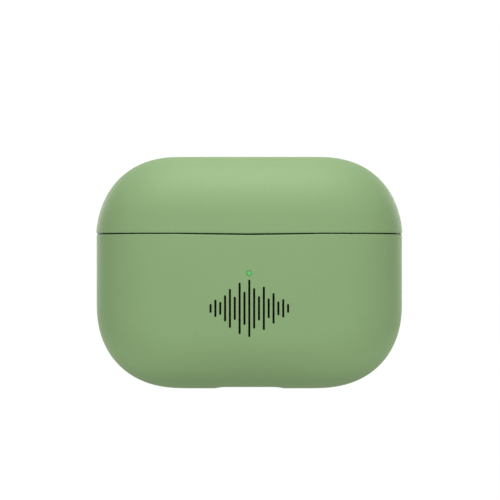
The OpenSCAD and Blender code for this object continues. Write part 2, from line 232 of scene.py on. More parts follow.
def notch_path(xs, rim, z_rim, direction):
    """The back rim from +x to -x past its notch, evenly by length: x, z and the way off the edge."""
    def corner(x, z, radius, start, stop):
        angles = np.radians(np.linspace(start, stop, 15))
        return np.stack([x + radius * np.cos(angles), z + direction * radius * np.sin(angles)], 1)

    outer, inner = rim.edge_radius, rim.floor_radius
    half = np.concatenate([
        [(xs.max(), z_rim)],
        corner(rim.notch_half + outer, z_rim - direction * outer, outer, 90, 180),
        corner(rim.notch_half - inner, rim.notch_z + direction * inner, inner, 0, -90)])
    whole = np.concatenate([half, half[::-1] * (-1, 1)])
    length = np.r_[0, np.cumsum(np.linalg.norm(np.diff(whole, axis=0), axis=1))]
    stations = np.linspace(0, length[-1], len(xs))

    def at(distance):
        distance = np.clip(distance, 0, length[-1])
        return np.stack([np.interp(distance, length, whole[:, i]) for i in (0, 1)])

    x, z = at(stations)
    step = 0.02
    tangent_x, tangent_z = at(stations + step) - at(stations - step)
    size = np.hypot(tangent_x, tangent_z)
    return x, z, direction * tangent_z / size, -direction * tangent_x / size


class Shell:
    """A thin-walled half of the form: outer and inner skins on matching grids, a closed end, a
    rounded rim that may pass a notch in the back, and holes cut in windows of the grid.

    straight, end, rounding and skirt count the steps along a straight, round an end, down the
    rounded part and between the collar height and the rim."""

    def __init__(self, form, insets, straight, end, rounding, skirt, rim):
        self.form, self.insets, self.rim = form, insets, rim
        across = np.linspace(-1, 1, straight + 1)
        around = np.radians(np.linspace(-90, 90, end + 1)[1:-1])
        # Columns run along the front, round the right end, along the back, round the left end.
        self.side = np.repeat(range(4), [len(across), len(around)] * 2)
        self.position = np.concatenate([across, around, -across, around])
        self.front_count, self.end_count = len(across), len(around)
        self.points, self.skins, self.joins = [], ([], []), []
        grids, edges = [], []
        for skin, inset in enumerate(insets):
            edge = self.rim_path(inset)
            grid = self.skin_grid(inset, edge, rounding, skirt)
            self.skins[skin].extend(stitch(grid) + self.closed_end(grid[0]))
            grids.append(grid)
            edges.append(edge)
        self.round_rim(grids, edges)

    def add(self, points):
        first = len(self.points)
        self.points.extend(tuple(p) for p in points)
        return list(range(first, len(self.points)))

    def ring(self, z, inset, x=None):
        """Column points at height z; x moves the columns of the front and back."""
        half_width, half_depth, straight = self.form.section(z, inset)
        if x is None:
            x = straight * self.position
        on_face = self.side % 2 == 0
        end_x = (straight + (half_width - straight)
                 * np.abs(np.cos(self.position)) ** (2 / END_POWER))
        sine = np.sin(self.position)
        end_y = half_depth * np.sign(sine) * np.abs(sine) ** (2 / END_POWER)
        x_sign = np.array([0, 1, 0, -1])[self.side]
        y_sign = np.array([-1, 1, 1, -1])[self.side]
        y = y_sign * np.where(on_face, self.form.face_y(x, z, inset), end_y)
        return np.stack([np.where(on_face, x, x_sign * end_x), y, z + np.zeros(len(y))], 1)

    def rim_path(self, inset):
        """The sharp rim corner of one skin and, per column, the direction off the edge."""
        rim, direction = self.rim, self.form.direction
        path = self.ring(rim.z, inset)
        off = np.zeros_like(path)
        off[:, 2] = direction
        front, back = self.side == 0, self.side == 2
        path[front, 2] -= rim.dip * np.clip(1 - np.abs(path[front, 0]) / DIP_HALF, 0, 1) ** 0.8
        if self.form is LOWER:
            behind = path[:, 1] > HINGE_Y
            reach = np.clip(path[:, 1] - HINGE_Y, 0, 2.9)
            relief = HINGE_Z + np.sqrt(HINGE_RELIEF ** 2 - reach ** 2)
            path[behind, 2] = np.minimum(path[behind, 2], relief[behind])
        x, z, off_x, off_z = notch_path(path[back, 0], rim, float(path[back, 2].min()), direction)
        path[back] = np.stack([x, self.form.face_y(x, z, inset), z], 1)
        off[back, 0], off[back, 2] = off_x, off_z
        return path, off

    def skin_grid(self, inset, edge, rounding, skirt):
        form = self.form
        collar = abs(form.collar_z - form.end_z)
        grid = []
        for i in range(rounding + 1):
            share = math.sin(math.radians(90 - 90 * i / rounding)) ** (2 / form.power)
            distance = form.rounding - share * (form.rounding - inset)
            if distance < collar - 0.25:
                grid.append(self.add(self.ring(form.end_z + form.direction * distance, inset)))
        start = self.ring(form.collar_z, inset)
        grid.append(self.add(start))
        path, off = edge
        stop = path - off * RIM_ROUNDING
        for k in range(1, skirt + 1):
            share = k / skirt
            guide = start * (1 - share) + stop * share
            grid.append(self.add(self.ring(guide[:, 2], inset, guide[:, 0])))
        return grid

    def closed_end(self, ring):
        """Joins front and back columns of the same x across the depth, in four steps."""
        steps, half = 4, self.end_count // 2
        cuts = np.cumsum([self.front_count, self.end_count, self.front_count])
        front, right, back, left = [list(part) for part in np.split(ring, cuts)]
        front, right, back, left = [[int(i) for i in part] for part in (front, right, back, left)]
        near = left[half + 1:] + front + right[:half]
        far = left[:half][::-1] + back[::-1] + right[half + 1:][::-1]
        columns = []
        for a, b in zip(near, far):
            start, end = np.array(self.points[a]), np.array(self.points[b])
            middle = self.add([start + (end - start) * q / steps for q in range(1, steps)])
            columns.append([a] + middle + [b])
        faces = [[a[q], a[q + 1], b[q + 1], b[q]]
                 for a, b in zip(columns, columns[1:]) for q in range(steps)]
        for tip, column in ((left[half], columns[0]), (right[half], columns[-1])):
            faces += [[column[q], column[q + 1], tip] for q in range(steps)]
        return faces

    def round_rim(self, grids, edges):
        (outer, outer_off), (inner, inner_off) = edges
        across = inner - outer
        width = np.linalg.norm(across, axis=1, keepdims=True)
        across = across / width * min(RIM_ROUNDING, 0.42 * float(width.min()))
        steps = 6
        loops = [self.add(bend(outer - outer_off * RIM_ROUNDING, outer, outer + across, q / steps))
                 for q in range(1, steps + 1)]
        loops += [self.add(bend(inner - across, inner, inner - inner_off * RIM_ROUNDING, q / steps))
                  for q in range(steps)]
        self.joins += stitch([grids[0][-1]] + loops + [grids[1][-1]])

    def hole(self, window, outline, plane, fillet):
        """Cuts a hole through both skins. window(x, y, z) chooses outer faces by their middle,
        outline(angles, grow) is the edge in the hole's plane, and plane holds the functions to
        and from that plane and the direction inward."""
        flatten, lift, inward = plane
        points = np.array(self.points)
        chosen = {n for n, face in enumerate(self.skins[0]) if window(*points[face].mean(0))}
        chains, angles = [], None
        for skin, inset in enumerate(self.insets):
            faces = self.skins[skin]
            edges = {pair for n in chosen for pair in zip(faces[n], faces[n][1:] + faces[n][:1])}
            following = {a: b for a, b in edges if (b, a) not in edges}
            start = min(following)
            loop = [start]
            while following[loop[-1]] != start:
                loop.append(following[loop[-1]])
            assert len(loop) == len(following), "window boundary is not one loop"
            faces[:] = [face for n, face in enumerate(faces) if n not in chosen]
            flat = flatten(np.array([self.points[i] for i in loop]))
            if angles is None:
                angles = np.arctan2(flat[:, 1], flat[:, 0])
            target = outline(angles, fillet)
            chain = [loop]
            for k in range(1, 6):
                share = k / 5
                share = share * (2 - share) * 0.5 + share * 0.5
                begin = lift(flat * (1 - share) + target * share, inset)
                chain.append(self.add(begin))
            corner = lift(outline(angles, 0.0), inset)
            end = corner + np.array(inward, float) * (1 if skin == 0 else -1) * fillet
            chain += [self.add(bend(begin, corner, end, q / 4)) for q in range(1, 5)]
            chains.append(chain)
        self.joins += stitch(chains[0] + chains[1][::-1])

    def build(self, name):
        return mesh_piece(name, self.points, self.skins[0] + self.skins[1] + self.joins)


def circle_outline(radius):
    return lambda angles, grow: (radius + grow) * np.stack([np.cos(angles), np.sin(angles)], 1)


def rect_outline(width, height, radius):
    """Where the ray at each angle meets a rounded rectangle."""
    def edge(angles, grow):
        half_w, half_h, corner = width / 2 + grow, height / 2 + grow, radius + grow
        out = []
        for angle in angles:
            low, high = 0.0, 3 * (half_w + half_h)
            for _ in range(48):
                middle = 0.5 * (low + high)
                x, y = middle * abs(math.cos(angle)), middle * abs(math.sin(angle))
                over_x, over_y = max(x - (half_w - corner), 0), max(y - (half_h - corner), 0)
                inside = x <= half_w and y <= half_h and (
                    over_x == 0 or over_y == 0 or math.hypot(over_x, over_y) <= corner)
                low, high = (middle, high) if inside else (low, middle)
            out.append((low * math.cos(angle), low * math.sin(angle)))
        return np.array(out)
    return edge


def wall_plane(centre_z, facing):
    """Plane of a hole in the lower form's front (facing -1) or back (+1), in the middle of x."""
    def flatten(points):
        return np.stack([points[:, 0], points[:, 2] - centre_z], 1)

    def lift(flat, inset):
        x, z = flat[:, 0], flat[:, 1] + centre_z
        return np.stack([x, facing * LOWER.face_y(x, z, inset), z], 1)
    return flatten, lift, (0, -facing, 0)


def floor_plane():
    """Plane of a hole in the underside."""
    def lift(flat, inset):
        x, y = flat[:, 0], flat[:, 1]
        return np.stack([x, y, LOWER.underside_z(x, y, inset)], 1)
    return (lambda points: points[:, :2].copy()), lift, (0, 0, 1)


def wall_window(centre_z, facing, half_x, half_z):
    return lambda x, y, z: abs(x) < half_x and abs(z - centre_z) < half_z and y * facing > 0


# ---------------------------------------------------------------- rounded solids from fields
def blend_min(a, b, blend):
    if not blend:
        return np.minimum(a, b)
    h = np.maximum(blend - np.abs(a - b), 0) / blend
    return np.minimum(a, b) - h * h * blend * 0.25


class Solid:
    """A solid given by a distance function of x, y, z that is negative inside."""

    def __init__(self, distance):
        self.distance = distance

    def __call__(self, x, y, z):
        return self.distance(x, y, z)

    def join(self, other, blend=0.0):
        return Solid(lambda *p: blend_min(self(*p), other(*p), blend))

    def cut(self, other, blend=0.0):
        return Solid(lambda *p: -blend_min(-self(*p), other(*p), blend))

    def keep(self, other, blend=0.0):
        """The part that is also inside other."""
        return Solid(lambda *p: -blend_min(-self(*p), -other(*p), blend))

    def grown(self, margin):
        return Solid(lambda *p: self(*p) - margin)

    def twinned(self):
        """The +x half, repeated as its mirror image at -x."""
        return Solid(lambda x, y, z: self(np.abs(x), y, z))


def split_axis(axis, p):
    """Coordinates p across the axis, in x, y, z order, and the one along it."""
    n = "xyz".index(axis)
    u, v = [p[i] for i in range(3) if i != n]
    return u, v, p[n]


def box(low, high, rounding=0.0):
    def distance(*p):
        q = [np.abs(v - (a + b) / 2) - ((b - a) / 2 - rounding) for v, a, b in zip(p, low, high)]
        out = np.sqrt(sum(np.maximum(v, 0) ** 2 for v in q))
        return out + np.minimum(np.maximum(np.maximum(q[0], q[1]), q[2]), 0) - rounding
    return Solid(distance)


def rod(axis, centre, span, radius, rounding=0.0):
    """A cylinder along an axis over a span, with rounded edges."""
    def distance(*p):
        u, v, w = split_axis(axis, p)
        a = np.sqrt((u - centre[0]) ** 2 + (v - centre[1]) ** 2) - (radius - rounding)
        b = np.abs(w - (span[0] + span[1]) / 2) - ((span[1] - span[0]) / 2 - rounding)
        out = np.sqrt(np.maximum(a, 0) ** 2 + np.maximum(b, 0) ** 2)
        return out + np.minimum(np.maximum(a, b), 0) - rounding
    return Solid(distance)


def prism(axis, centre, size, radius):
    """An endless rounded rectangle along an axis."""
    def distance(*p):
        u, v, _ = split_axis(axis, p)
        a = np.abs(u - centre[0]) - (size[0] / 2 - radius)
        b = np.abs(v - centre[1]) - (size[1] / 2 - radius)
        out = np.sqrt(np.maximum(a, 0) ** 2 + np.maximum(b, 0) ** 2)
        return out + np.minimum(np.maximum(a, b), 0) - radius
    return Solid(distance)


def slab(axis, middle, half):
    return Solid(lambda *p: np.abs(split_axis(axis, p)[2] - middle) - half)


def ball(centre, radius):
    return Solid(lambda x, y, z: np.sqrt(
        (x - centre[0]) ** 2 + (y - centre[1]) ** 2 + (z - centre[2]) ** 2) - radius)


def net(solid, low, high, pitch):
    """Points and quads of a solid's surface on a grid, settled onto the true surface."""
    axes = [np.arange(a, b + pitch, pitch) for a, b in zip(low, high)]
    values = solid(*np.meshgrid(*axes, indexing="ij"))
    inside = values < 0
    count = np.zeros([len(a) - 1 for a in axes], np.int8)
    for shift in itertools.product((0, 1), repeat=3):
        count += inside[tuple(slice(s, s + n) for s, n in zip(shift, count.shape))]
    mixed = (count > 0) & (count < 8)
    number = np.full(mixed.shape, -1)
    number[mixed] = np.arange(mixed.sum())
    cells = np.argwhere(mixed)

    # Each mixed cell gets the mean of the crossings on its twelve edges.
    total, crossings = np.zeros((len(cells), 3)), np.zeros(len(cells))
    for axis in range(3):
        others = [a for a in range(3) if a != axis]
        for corner in itertools.product((0, 1), repeat=2):
            start = np.zeros(3, int)
            start[others] = corner
            end = start.copy()
            end[axis] = 1
            a, b = values[tuple((cells + start).T)], values[tuple((cells + end).T)]
            crossed = (a < 0) != (b < 0)
            point = (cells + start).astype(float)
            point[:, axis] += np.where(crossed, a / np.where(crossed, a - b, 1), 0)
            total[crossed] += point[crossed]
            crossings[crossed] += 1
    points = total / crossings[:, None] * pitch + np.array(low)

    home = points.copy()
    probe = np.eye(3) * (pitch * 0.05)
    for _ in range(3):
        slope = np.stack([(solid(*(points + d).T) - solid(*(points - d).T)) / (2 * pitch * 0.05)
                          for d in probe], 1)
        steepness = np.maximum((slope ** 2).sum(1), 0.05)
        move = -(solid(*points.T) / steepness)[:, None] * slope
        size = np.linalg.norm(move, axis=1, keepdims=True)
        points = points + move * np.minimum(1, 0.4 * pitch / np.maximum(size, 1e-9))
    drift = np.linalg.norm(points - home, axis=1, keepdims=True)
    points = home + (points - home) * np.minimum(1, 0.8 * pitch / np.maximum(drift, 1e-9))

    # Each crossed grid edge gets a quad between the four cells round it.
    quads = []
    for axis in range(3):
        a, b = [v for v in range(3) if v != axis]
        near, far = [slice(1, -1)] * 3, [slice(1, -1)] * 3
        near[axis], far[axis] = slice(0, -1), slice(1, None)
        first, second = inside[tuple(near)], inside[tuple(far)]
        edges = np.argwhere(first != second)
        flip = first[tuple(edges.T)]
        edges[:, [a, b]] += 1

        def cell(back_a, back_b):
            c = edges.copy()
            c[:, a] -= back_a
            c[:, b] -= back_b
            return number[tuple(c.T)]
        quad = np.stack([cell(1, 1), cell(0, 1), cell(0, 0), cell(1, 0)], 1)
        if axis == 1:
            flip = ~flip
        quad[~flip] = quad[~flip][:, ::-1]
        quads.append(quad)
    return points, np.concatenate(quads)


def net_piece(name, points, quads, mirror=False):
    if mirror:
        points, quads = points * np.array([-1, 1, 1]), quads[:, ::-1]
    return mesh_piece(name, points, quads.tolist(), tidy=False)


def carve(name, solid, low, high, pitch, mirror=False):
    return net_piece(name, *net(solid, low, high, pitch), mirror)


# ---------------------------------------------------------------- turned pieces and plates
def rounded(table, steps=4):
    """Rounds the corners of an outline of (radius, height, rounding) rows."""
    points = [np.array(row[:2], float) for row in table]
    out = []
    for i, (_, _, rounding) in enumerate(table):
        corner = points[i]
        if rounding <= 0:
            out.append(corner)
            continue
        to_last, to_next = points[i - 1] - corner, points[(i + 1) % len(points)] - corner
        last, following = np.linalg.norm(to_last), np.linalg.norm(to_next)
        reach = min(rounding, 0.45 * last, 0.45 * following)
        start, end = corner + to_last / last * reach, corner + to_next / following * reach
        out += [bend(start, corner, end, k / steps) for k in range(steps + 1)]
    return out


def rod_profile(radius, low, high, round_low, round_high, steps=4):
    return rounded([(0, low, 0), (radius, low, round_low),
                    (radius, high, round_high), (0, high, 0)], steps)


def lathe(name, profile, origin, axis, segments, closed=False):
    """Turns (radius, height) points about 'x', '-x', 'y', '-y' or 'z'; radius 0 shuts an end."""
    sign = -1 if axis[0] == "-" else 1
    along = "xyz".index(axis[-1])
    u, v = [(1, 2), (2, 0), (0, 1)][along]
    points, rows = [], []
    for radius, height in profile:
        count = 1 if radius < 1e-6 else segments
        rows.append(list(range(len(points), len(points) + count)))
        for k in range(count):
            angle = 2 * math.pi * k / segments
            p = [0.0, 0.0, 0.0]
            if count > 1:
                p[u], p[v] = radius * math.cos(angle), radius * math.sin(angle)
            p[along] = sign * height
            points.append(p)
    return mesh_piece(name, np.array(points) + np.array(origin, float), stitch(rows, closed))


def plate(name, outline, axis, span, bevel, bevel_steps):
    """An anticlockwise outline in the plane across y or z, as a plate with rounded edges."""
    outline = np.array(outline, float)
    along = np.roll(outline, -1, 0) - np.roll(outline, 1, 0)
    normal = np.stack([along[:, 1], -along[:, 0]], 1) / np.linalg.norm(along, axis=1, keepdims=True)
    n = "xyz".index(axis)
    u, v = [i for i in range(3) if i != n]
    turns = [math.pi / 2 * k / bevel_steps for k in range(bevel_steps + 1)]
    levels = [(t, span[0] + bevel * (1 - math.cos(t))) for t in turns]
    levels += [(t, span[1] - bevel * (1 - math.cos(t))) for t in turns[::-1]]
    points = []
    for turn, level in levels:
        ring = np.full((len(outline), 3), level)
        ring[:, [u, v]] = outline - normal * bevel * (1 - math.sin(turn))
        points.extend(ring)
    loops = loops_of(len(levels), len(outline))
    return mesh_piece(name, points, stitch(loops) + [loops[0][::-1], loops[-1]])


def rounded_rect(centre, size, radius, steps):
    width, height = size
    out = []
    for sx, sy, start in ((1, 1, 0), (-1, 1, 90), (-1, -1, 180), (1, -1, 270)):
        for k in range(steps + 1):
            angle = math.radians(start + 90 * k / steps)
            point = (centre[0] + sx * (width / 2 - radius) + radius * math.cos(angle),
                     centre[1] + sy * (height / 2 - radius) + radius * math.sin(angle))
            if not out or math.dist(point, out[-1]) > 1e-5:
                out.append(point)
    if math.dist(out[0], out[-1]) < 1e-5:
        out.pop()
    return out


def rect_plate(name, material, axis, centre, size, span, *, corner, corner_steps, bevel,
               bevel_steps=1):
    outline = rounded_rect(centre, size, corner, corner_steps)
    return paint(plate(name, outline, axis, span, bevel, bevel_steps), material)


def tube(path, radius, segments):
    """A round wire along a closed path in an XZ plane."""
    path = np.array(path, float)
    along = np.roll(path, -1, 0) - np.roll(path, 1, 0)
    along /= np.linalg.norm(along, axis=1, keepdims=True)
    up = np.array([0, 1.0, 0])
    sideways = np.cross(along, up)
    angles = [2 * math.pi * k / segments for k in range(segments)]
    points = [p + (s * math.cos(a) + up * math.sin(a)) * radius
              for p, s in zip(path, sideways) for a in angles]
    return mesh_piece("wire", points, stitch(loops_of(len(path), segments), closed=True))


# ---------------------------------------------------------------- shader helpers
def srgb(*levels):
    values = [c / 255 for c in levels]
    return (*[c / 12.92 if c <= 0.04045 else ((c + 0.055) / 1.055) ** 2.4 for c in values], 1.0)


def shade(colour, factor):
    return (*[c * factor for c in colour[:3]], 1.0)


class Nodes:
    """Adds nodes to a shader tree; an input takes a value or the socket that drives it."""

    def __init__(self, tree):
        self.tree = tree

    def feed(self, socket, value):
        if isinstance(value, bpy.types.NodeSocket):
            self.tree.links.new(value, socket)
        else:
            socket.default_value = value

    def node(self, kind, inputs=None, **settings):
        node = self.tree.nodes.new("ShaderNode" + kind)
        for name, value in settings.items():
            setattr(node, name, value)
        for key, value in (inputs or {}).items():
            self.feed(node.inputs[key], value)
        return node

    def math(self, operation, a, b):
        return self.node("Math", {0: a, 1: b}, operation=operation).outputs[0]


class Finish(Nodes):
    """A material on a Principled shader, with object coordinates in millimetres."""

    def __init__(self, name):
        self.material = bpy.data.materials.new(name)
        self.material.use_nodes = True
        super().__init__(self.material.node_tree)
        self.principled = self.tree.nodes["Principled BSDF"]
        source = self.node("TexCoord").outputs["Object"]
        self.position = self.mapped(source, Scale=(1000, 1000, 1000))

    def mapped(self, vector, **inputs):
        return self.node("Mapping", {"Vector": vector, **inputs}).outputs["Vector"]

    def surface(self, inputs):
        for name, value in inputs.items():
            self.feed(self.principled.inputs[name], value)
        return self.material

    def noise(self, scale, detail=2.0, roughness=0.5, stretch=None):
        vector = self.mapped(self.position, Scale=stretch) if stretch else self.position
        return self.node("TexNoise", {"Scale": scale, "Detail": detail, "Roughness": roughness,
                                      "Vector": vector}).outputs["Fac"]

    def wave(self, rotation, scale, **inputs):
        vector = self.mapped(self.position, Rotation=rotation)
        return self.node("TexWave", {"Scale": scale, "Vector": vector, **inputs}).outputs["Fac"]

    def ramp(self, factor, stops):
        node = self.node("ValToRGB", {"Fac": factor})
        elements = node.color_ramp.elements
        while len(elements) < len(stops):
            elements.new(0.5)
        for element, (position, colour) in zip(elements, stops):
            element.position = position
            element.color = colour
        return node.outputs["Color"]

    def step(self, factor, low, high):
        """Black below low, white above high."""
        return self.ramp(factor, [(low, (0, 0, 0, 1)), (high, (1, 1, 1, 1))])

    def remap(self, value, to, source=(0.0, 1.0)):
        return self.node("MapRange", {
            "From Min": source[0], "From Max": source[1],
            "To Min": to[0], "To Max": to[1], "Value": value}).outputs["Result"]

    def bump(self, height, strength, depth, over=None):
        """depth is in millimetres; over is a normal to build on."""
        inputs = {"Strength": strength, "Distance": depth * MM, "Height": height}
        if over is not None:
            inputs["Normal"] = over
        return self.node("Bump", inputs).outputs["Normal"]

    def mix(self, factor, a, b):
        return self.node("Mix", {0: factor, 6: a, 7: b}, data_type="RGBA").outputs[2]

    def mottle(self, factor, colour, dark, light):
        """The colour varied between two shades of itself."""
        spread = self.remap(factor, (0, 1), MIDDLE)
        return self.mix(spread, shade(colour, dark), shade(colour, light))


MIDDLE = (0.3, 0.7)   # the range that a noise mostly covers


# ---------------------------------------------------------------- materials
def soft_touch(name, colour):
    """Soft-touch lacquer: a fine even grain, a faint mottling and a slight velvet sheen."""
    m = Finish(name)
    fine = m.noise(scale=7.0, roughness=0.55)
    broad = m.remap(m.noise(scale=0.09, detail=3, roughness=0.6), (0, 0.6), MIDDLE)
    speck = m.remap(m.noise(scale=1.9, roughness=0.6), (0, 0.8), (0.35, 0.65))
    tone = m.math("ADD", broad, speck)
    grain = m.bump(fine, strength=0.22, depth=0.02)
    return m.surface({
        "Base Color": m.mix(tone, shade(colour, 0.975), shade(colour, 1.01)),
        "Roughness": m.remap(fine, (0.5, 0.6), MIDDLE),
        "Normal": m.bump(m.noise(scale=2.2), strength=0.24, depth=0.02, over=grain),
        "Specular IOR Level": 0.16, "Sheen Weight": 0.02, "Sheen Roughness": 0.5})


def gloss(name, colour, roughness, coat, peel):
    """Gloss plastic with faint orange peel and light handling haze."""
    m = Finish(name)
    haze = m.noise(scale=0.35, detail=4, roughness=0.6)
    return m.surface({
        "Roughness": m.remap(haze, (roughness, roughness + 0.08), (0.35, 0.7)),
        "Base Color": m.mottle(m.noise(scale=0.12), colour, 0.985, 1.01),
        "Normal": m.bump(m.noise(scale=1.6), strength=peel, depth=0.03),
        "Coat Weight": coat, "Coat Roughness": 0.06, "Specular IOR Level": 0.5})


def satin(name, colour, roughness, grain, scale=6.0):
    """Spark-eroded satin moulding."""
    m = Finish(name)
    pits = m.noise(scale=scale, detail=3, roughness=0.6)
    return m.surface({
        "Base Color": m.mottle(m.noise(scale=0.2, detail=3), colour, 0.97, 1.02),
        "Roughness": m.remap(pits, (roughness - 0.05, roughness + 0.08), MIDDLE),
        "Normal": m.bump(pits, strength=grain, depth=0.02)})


def metal(name, colour, roughness, stretch, grain, tarnish=0.06):
    """Brushed or machined metal; the grain runs along the axis stretched least."""
    m = Finish(name)
    lines = m.noise(scale=1.2, detail=4, roughness=0.65, stretch=stretch)
    return m.surface({
        "Base Color": m.mottle(lines, colour, 1 - tarnish, 1 + tarnish),
        "Roughness": m.remap(lines, (roughness - 0.06, roughness + 0.1), MIDDLE),
        "Normal": m.bump(lines, strength=grain, depth=0.01),
        "Metallic": 1.0})


def rubber(name, colour, roughness, translucency=0.0):
    m = Finish(name)
    grain = m.noise(scale=4.0)
    if translucency:
        m.surface({"Subsurface Weight": translucency, "Subsurface Scale": 0.002,
                   "Subsurface Radius": (1, 0.9, 0.8)})
    return m.surface({
        "Base Color": m.mottle(m.noise(scale=0.4, detail=3), colour, 0.97, 1.02),
        "Roughness": m.remap(grain, (roughness - 0.06, roughness + 0.08), MIDDLE),
        "Normal": m.bump(grain, strength=0.12, depth=0.02)})


def board_finish():
    """Glassy solder mask with faint copper tracks, across or upright in patches."""
    m = Finish("board_solder_mask")
    even = {"Distortion": 0.0, "Detail": 0}
    upright = m.step(m.wave((0, 0, 0), scale=0.55, **even), 0.9, 0.94)
    across = m.step(m.wave((0, math.radians(90), 0), scale=0.42, **even), 0.92, 0.96)
    patches = m.step(m.noise(scale=0.35, detail=1), 0.47, 0.5)
    tracks = m.mix(patches, upright, across)
    return m.surface({
        "Base Color": m.mix(tracks, (0.006, 0.055, 0.028, 1), (0.02, 0.14, 0.06, 1)),
        "Roughness": m.remap(m.noise(scale=3.0), (0.22, 0.36)),
        "Normal": m.bump(tracks, strength=0.35, depth=0.03)})


def mesh_finish():
    """Fine woven mesh: two crossed waves set the wires and the dark pores between them."""
    m = Finish("acoustic_mesh")
    waves = [m.wave((0, 0, math.radians(turn)), scale=3.2) for turn in (45, -45)]
    wires = m.math("MAXIMUM", *waves)
    shown = m.step(wires, 0.45, 0.7)
    return m.surface({
        "Base Color": m.mix(shown, (0.004, 0.004, 0.004, 1), srgb(96, 98, 102)),
        "Roughness": m.remap(m.noise(scale=6.0), (0.35, 0.5)),
        "Normal": m.bump(wires, strength=0.7, depth=0.06),
        "Metallic": 0.7})


def lens_finish():
    """Lit light pipe: frosted, brightest in its middle and darker towards its rim."""
    m = Finish("status_light_lens")
    offset = m.node("VectorMath", {0: m.position, 1: (0, -12.0, LED_Z)}, operation="SUBTRACT")
    flat = m.node("VectorMath", {0: offset.outputs[0], 1: (1, 0, 1)}, operation="MULTIPLY")
    radius = m.node("VectorMath", {0: flat.outputs[0]}, operation="LENGTH").outputs["Value"]
    glow = m.ramp(m.remap(radius, (0, 1), (0.0, 0.6)), [
        (0.0, srgb(96, 206, 104)), (0.5, srgb(92, 190, 98)),
        (0.84, srgb(84, 166, 88)), (1.0, srgb(34, 84, 36))])
    frost = m.remap(m.noise(scale=4.0), (0, 0.25))
    return m.surface({
        "Emission Color": m.mix(frost, glow, srgb(120, 205, 126)),
        "Base Color": glow,
        "Emission Strength": 0.78, "Specular IOR Level": 0.3,
        "Roughness": m.remap(m.noise(scale=5.0), (0.3, 0.45)),
        "Normal": m.bump(m.noise(scale=5.0), strength=0.1, depth=0.02)})


def ink_finish():
    m = Finish("printed_ink")
    spread = m.remap(m.noise(scale=3.0, detail=3), (0, 1), MIDDLE)
    return m.surface({
        "Base Color": m.mix(spread, (0.0006, 0.0008, 0.0006, 1), (0.0016, 0.002, 0.0016, 1)),
        "Roughness": m.remap(m.noise(scale=7.0), (0.55, 0.7)),
        "Normal": m.bump(m.noise(scale=7.0), strength=0.15, depth=0.01),
        "Specular IOR Level": 0.06})


def film_finish():
    """Shrink-wrapped cell: dark film with shallow wrinkles and a satin sheen."""
    m = Finish("cell_film")
    wrinkles = m.noise(scale=0.5, detail=4, roughness=0.6, stretch=(1, 1, 0.3))
    spread = m.remap(wrinkles, (0, 1), (0.35, 0.65))
    return m.surface({
        "Base Color": m.mix(spread, (0.018, 0.02, 0.03, 1), (0.028, 0.032, 0.045, 1)),
        "Roughness": m.remap(m.noise(scale=2.0, detail=3), (0.28, 0.45)),
        "Normal": m.bump(wrinkles, strength=0.4, depth=0.12),
        "Coat Weight": 0.25})


GREEN = srgb(134, 162, 116)
finish = {
    "cover": soft_touch("soft_touch_green", GREEN),
    "white": gloss("gloss_white", srgb(236, 236, 233), roughness=0.12, coat=0.4, peel=0.05),
    "inner": satin("satin_white", srgb(226, 226, 223), roughness=0.38, grain=0.1),
    # The seam's dark line is painted shade of the gap between cap and sleeve; its paler ends are
    # painted shade too.
    "painted_shade_bead": satin("seam_painted_shade", shade(srgb(122, 162, 96), 0.03), roughness=0.8, grain=0.1),
    "painted_shade_end": soft_touch("seam_end_painted_shade", shade(GREEN, 0.6)),
    "bud": gloss("bud_gloss_white", srgb(238, 238, 236), roughness=0.1, coat=0.5, peel=0.04),
    "foam": rubber("grip_foam_pad", srgb(226, 226, 220), roughness=0.85),
    "tip": rubber("tip_silicone", srgb(228, 228, 226), roughness=0.42, translucency=0.25),
    "black": satin("black_moulding", srgb(26, 27, 29), roughness=0.42, grain=0.15),
    "chip": satin("chip_epoxy", srgb(20, 21, 23), roughness=0.55, grain=0.25, scale=9.0),
    "ferrite": satin("ferrite_film", srgb(38, 38, 41), roughness=0.5, grain=0.2, scale=3.0),
    "button": satin("button_white", srgb(226, 226, 224), roughness=0.36, grain=0.1),
    "board": board_finish(), "mesh": mesh_finish(), "lens": lens_finish(),
    "ink": ink_finish(), "cell": film_finish(),
}
for key, name, colour, roughness, stretch, grain, tarnish in (
        ("steel", "brushed_steel", (196, 198, 202), 0.3, (1, 26, 26), 0.14, 0.06),
        ("pin", "ground_pin", (205, 206, 208), 0.2, (1, 40, 40), 0.08, 0.06),
        ("screw", "blackened_screw", (112, 114, 118), 0.32, (8, 8, 8), 0.1, 0.06),
        ("nickel", "nickel_plate", (200, 198, 190), 0.2, (6, 6, 6), 0.06, 0.06),
        ("gold", "gold_plate", (226, 178, 92), 0.24, (10, 10, 10), 0.08, 0.05),
        ("copper", "enamelled_copper", (188, 104, 54), 0.3, (3, 3, 3), 0.1, 0.08),
        ("can", "drawn_can", (170, 172, 176), 0.26, (20, 2, 2), 0.1, 0.06),
        ("solder", "solder", (190, 192, 196), 0.3, (5, 5, 5), 0.2, 0.06)):
    finish[key] = metal(name, srgb(*colour), roughness, stretch, grain, tarnish)


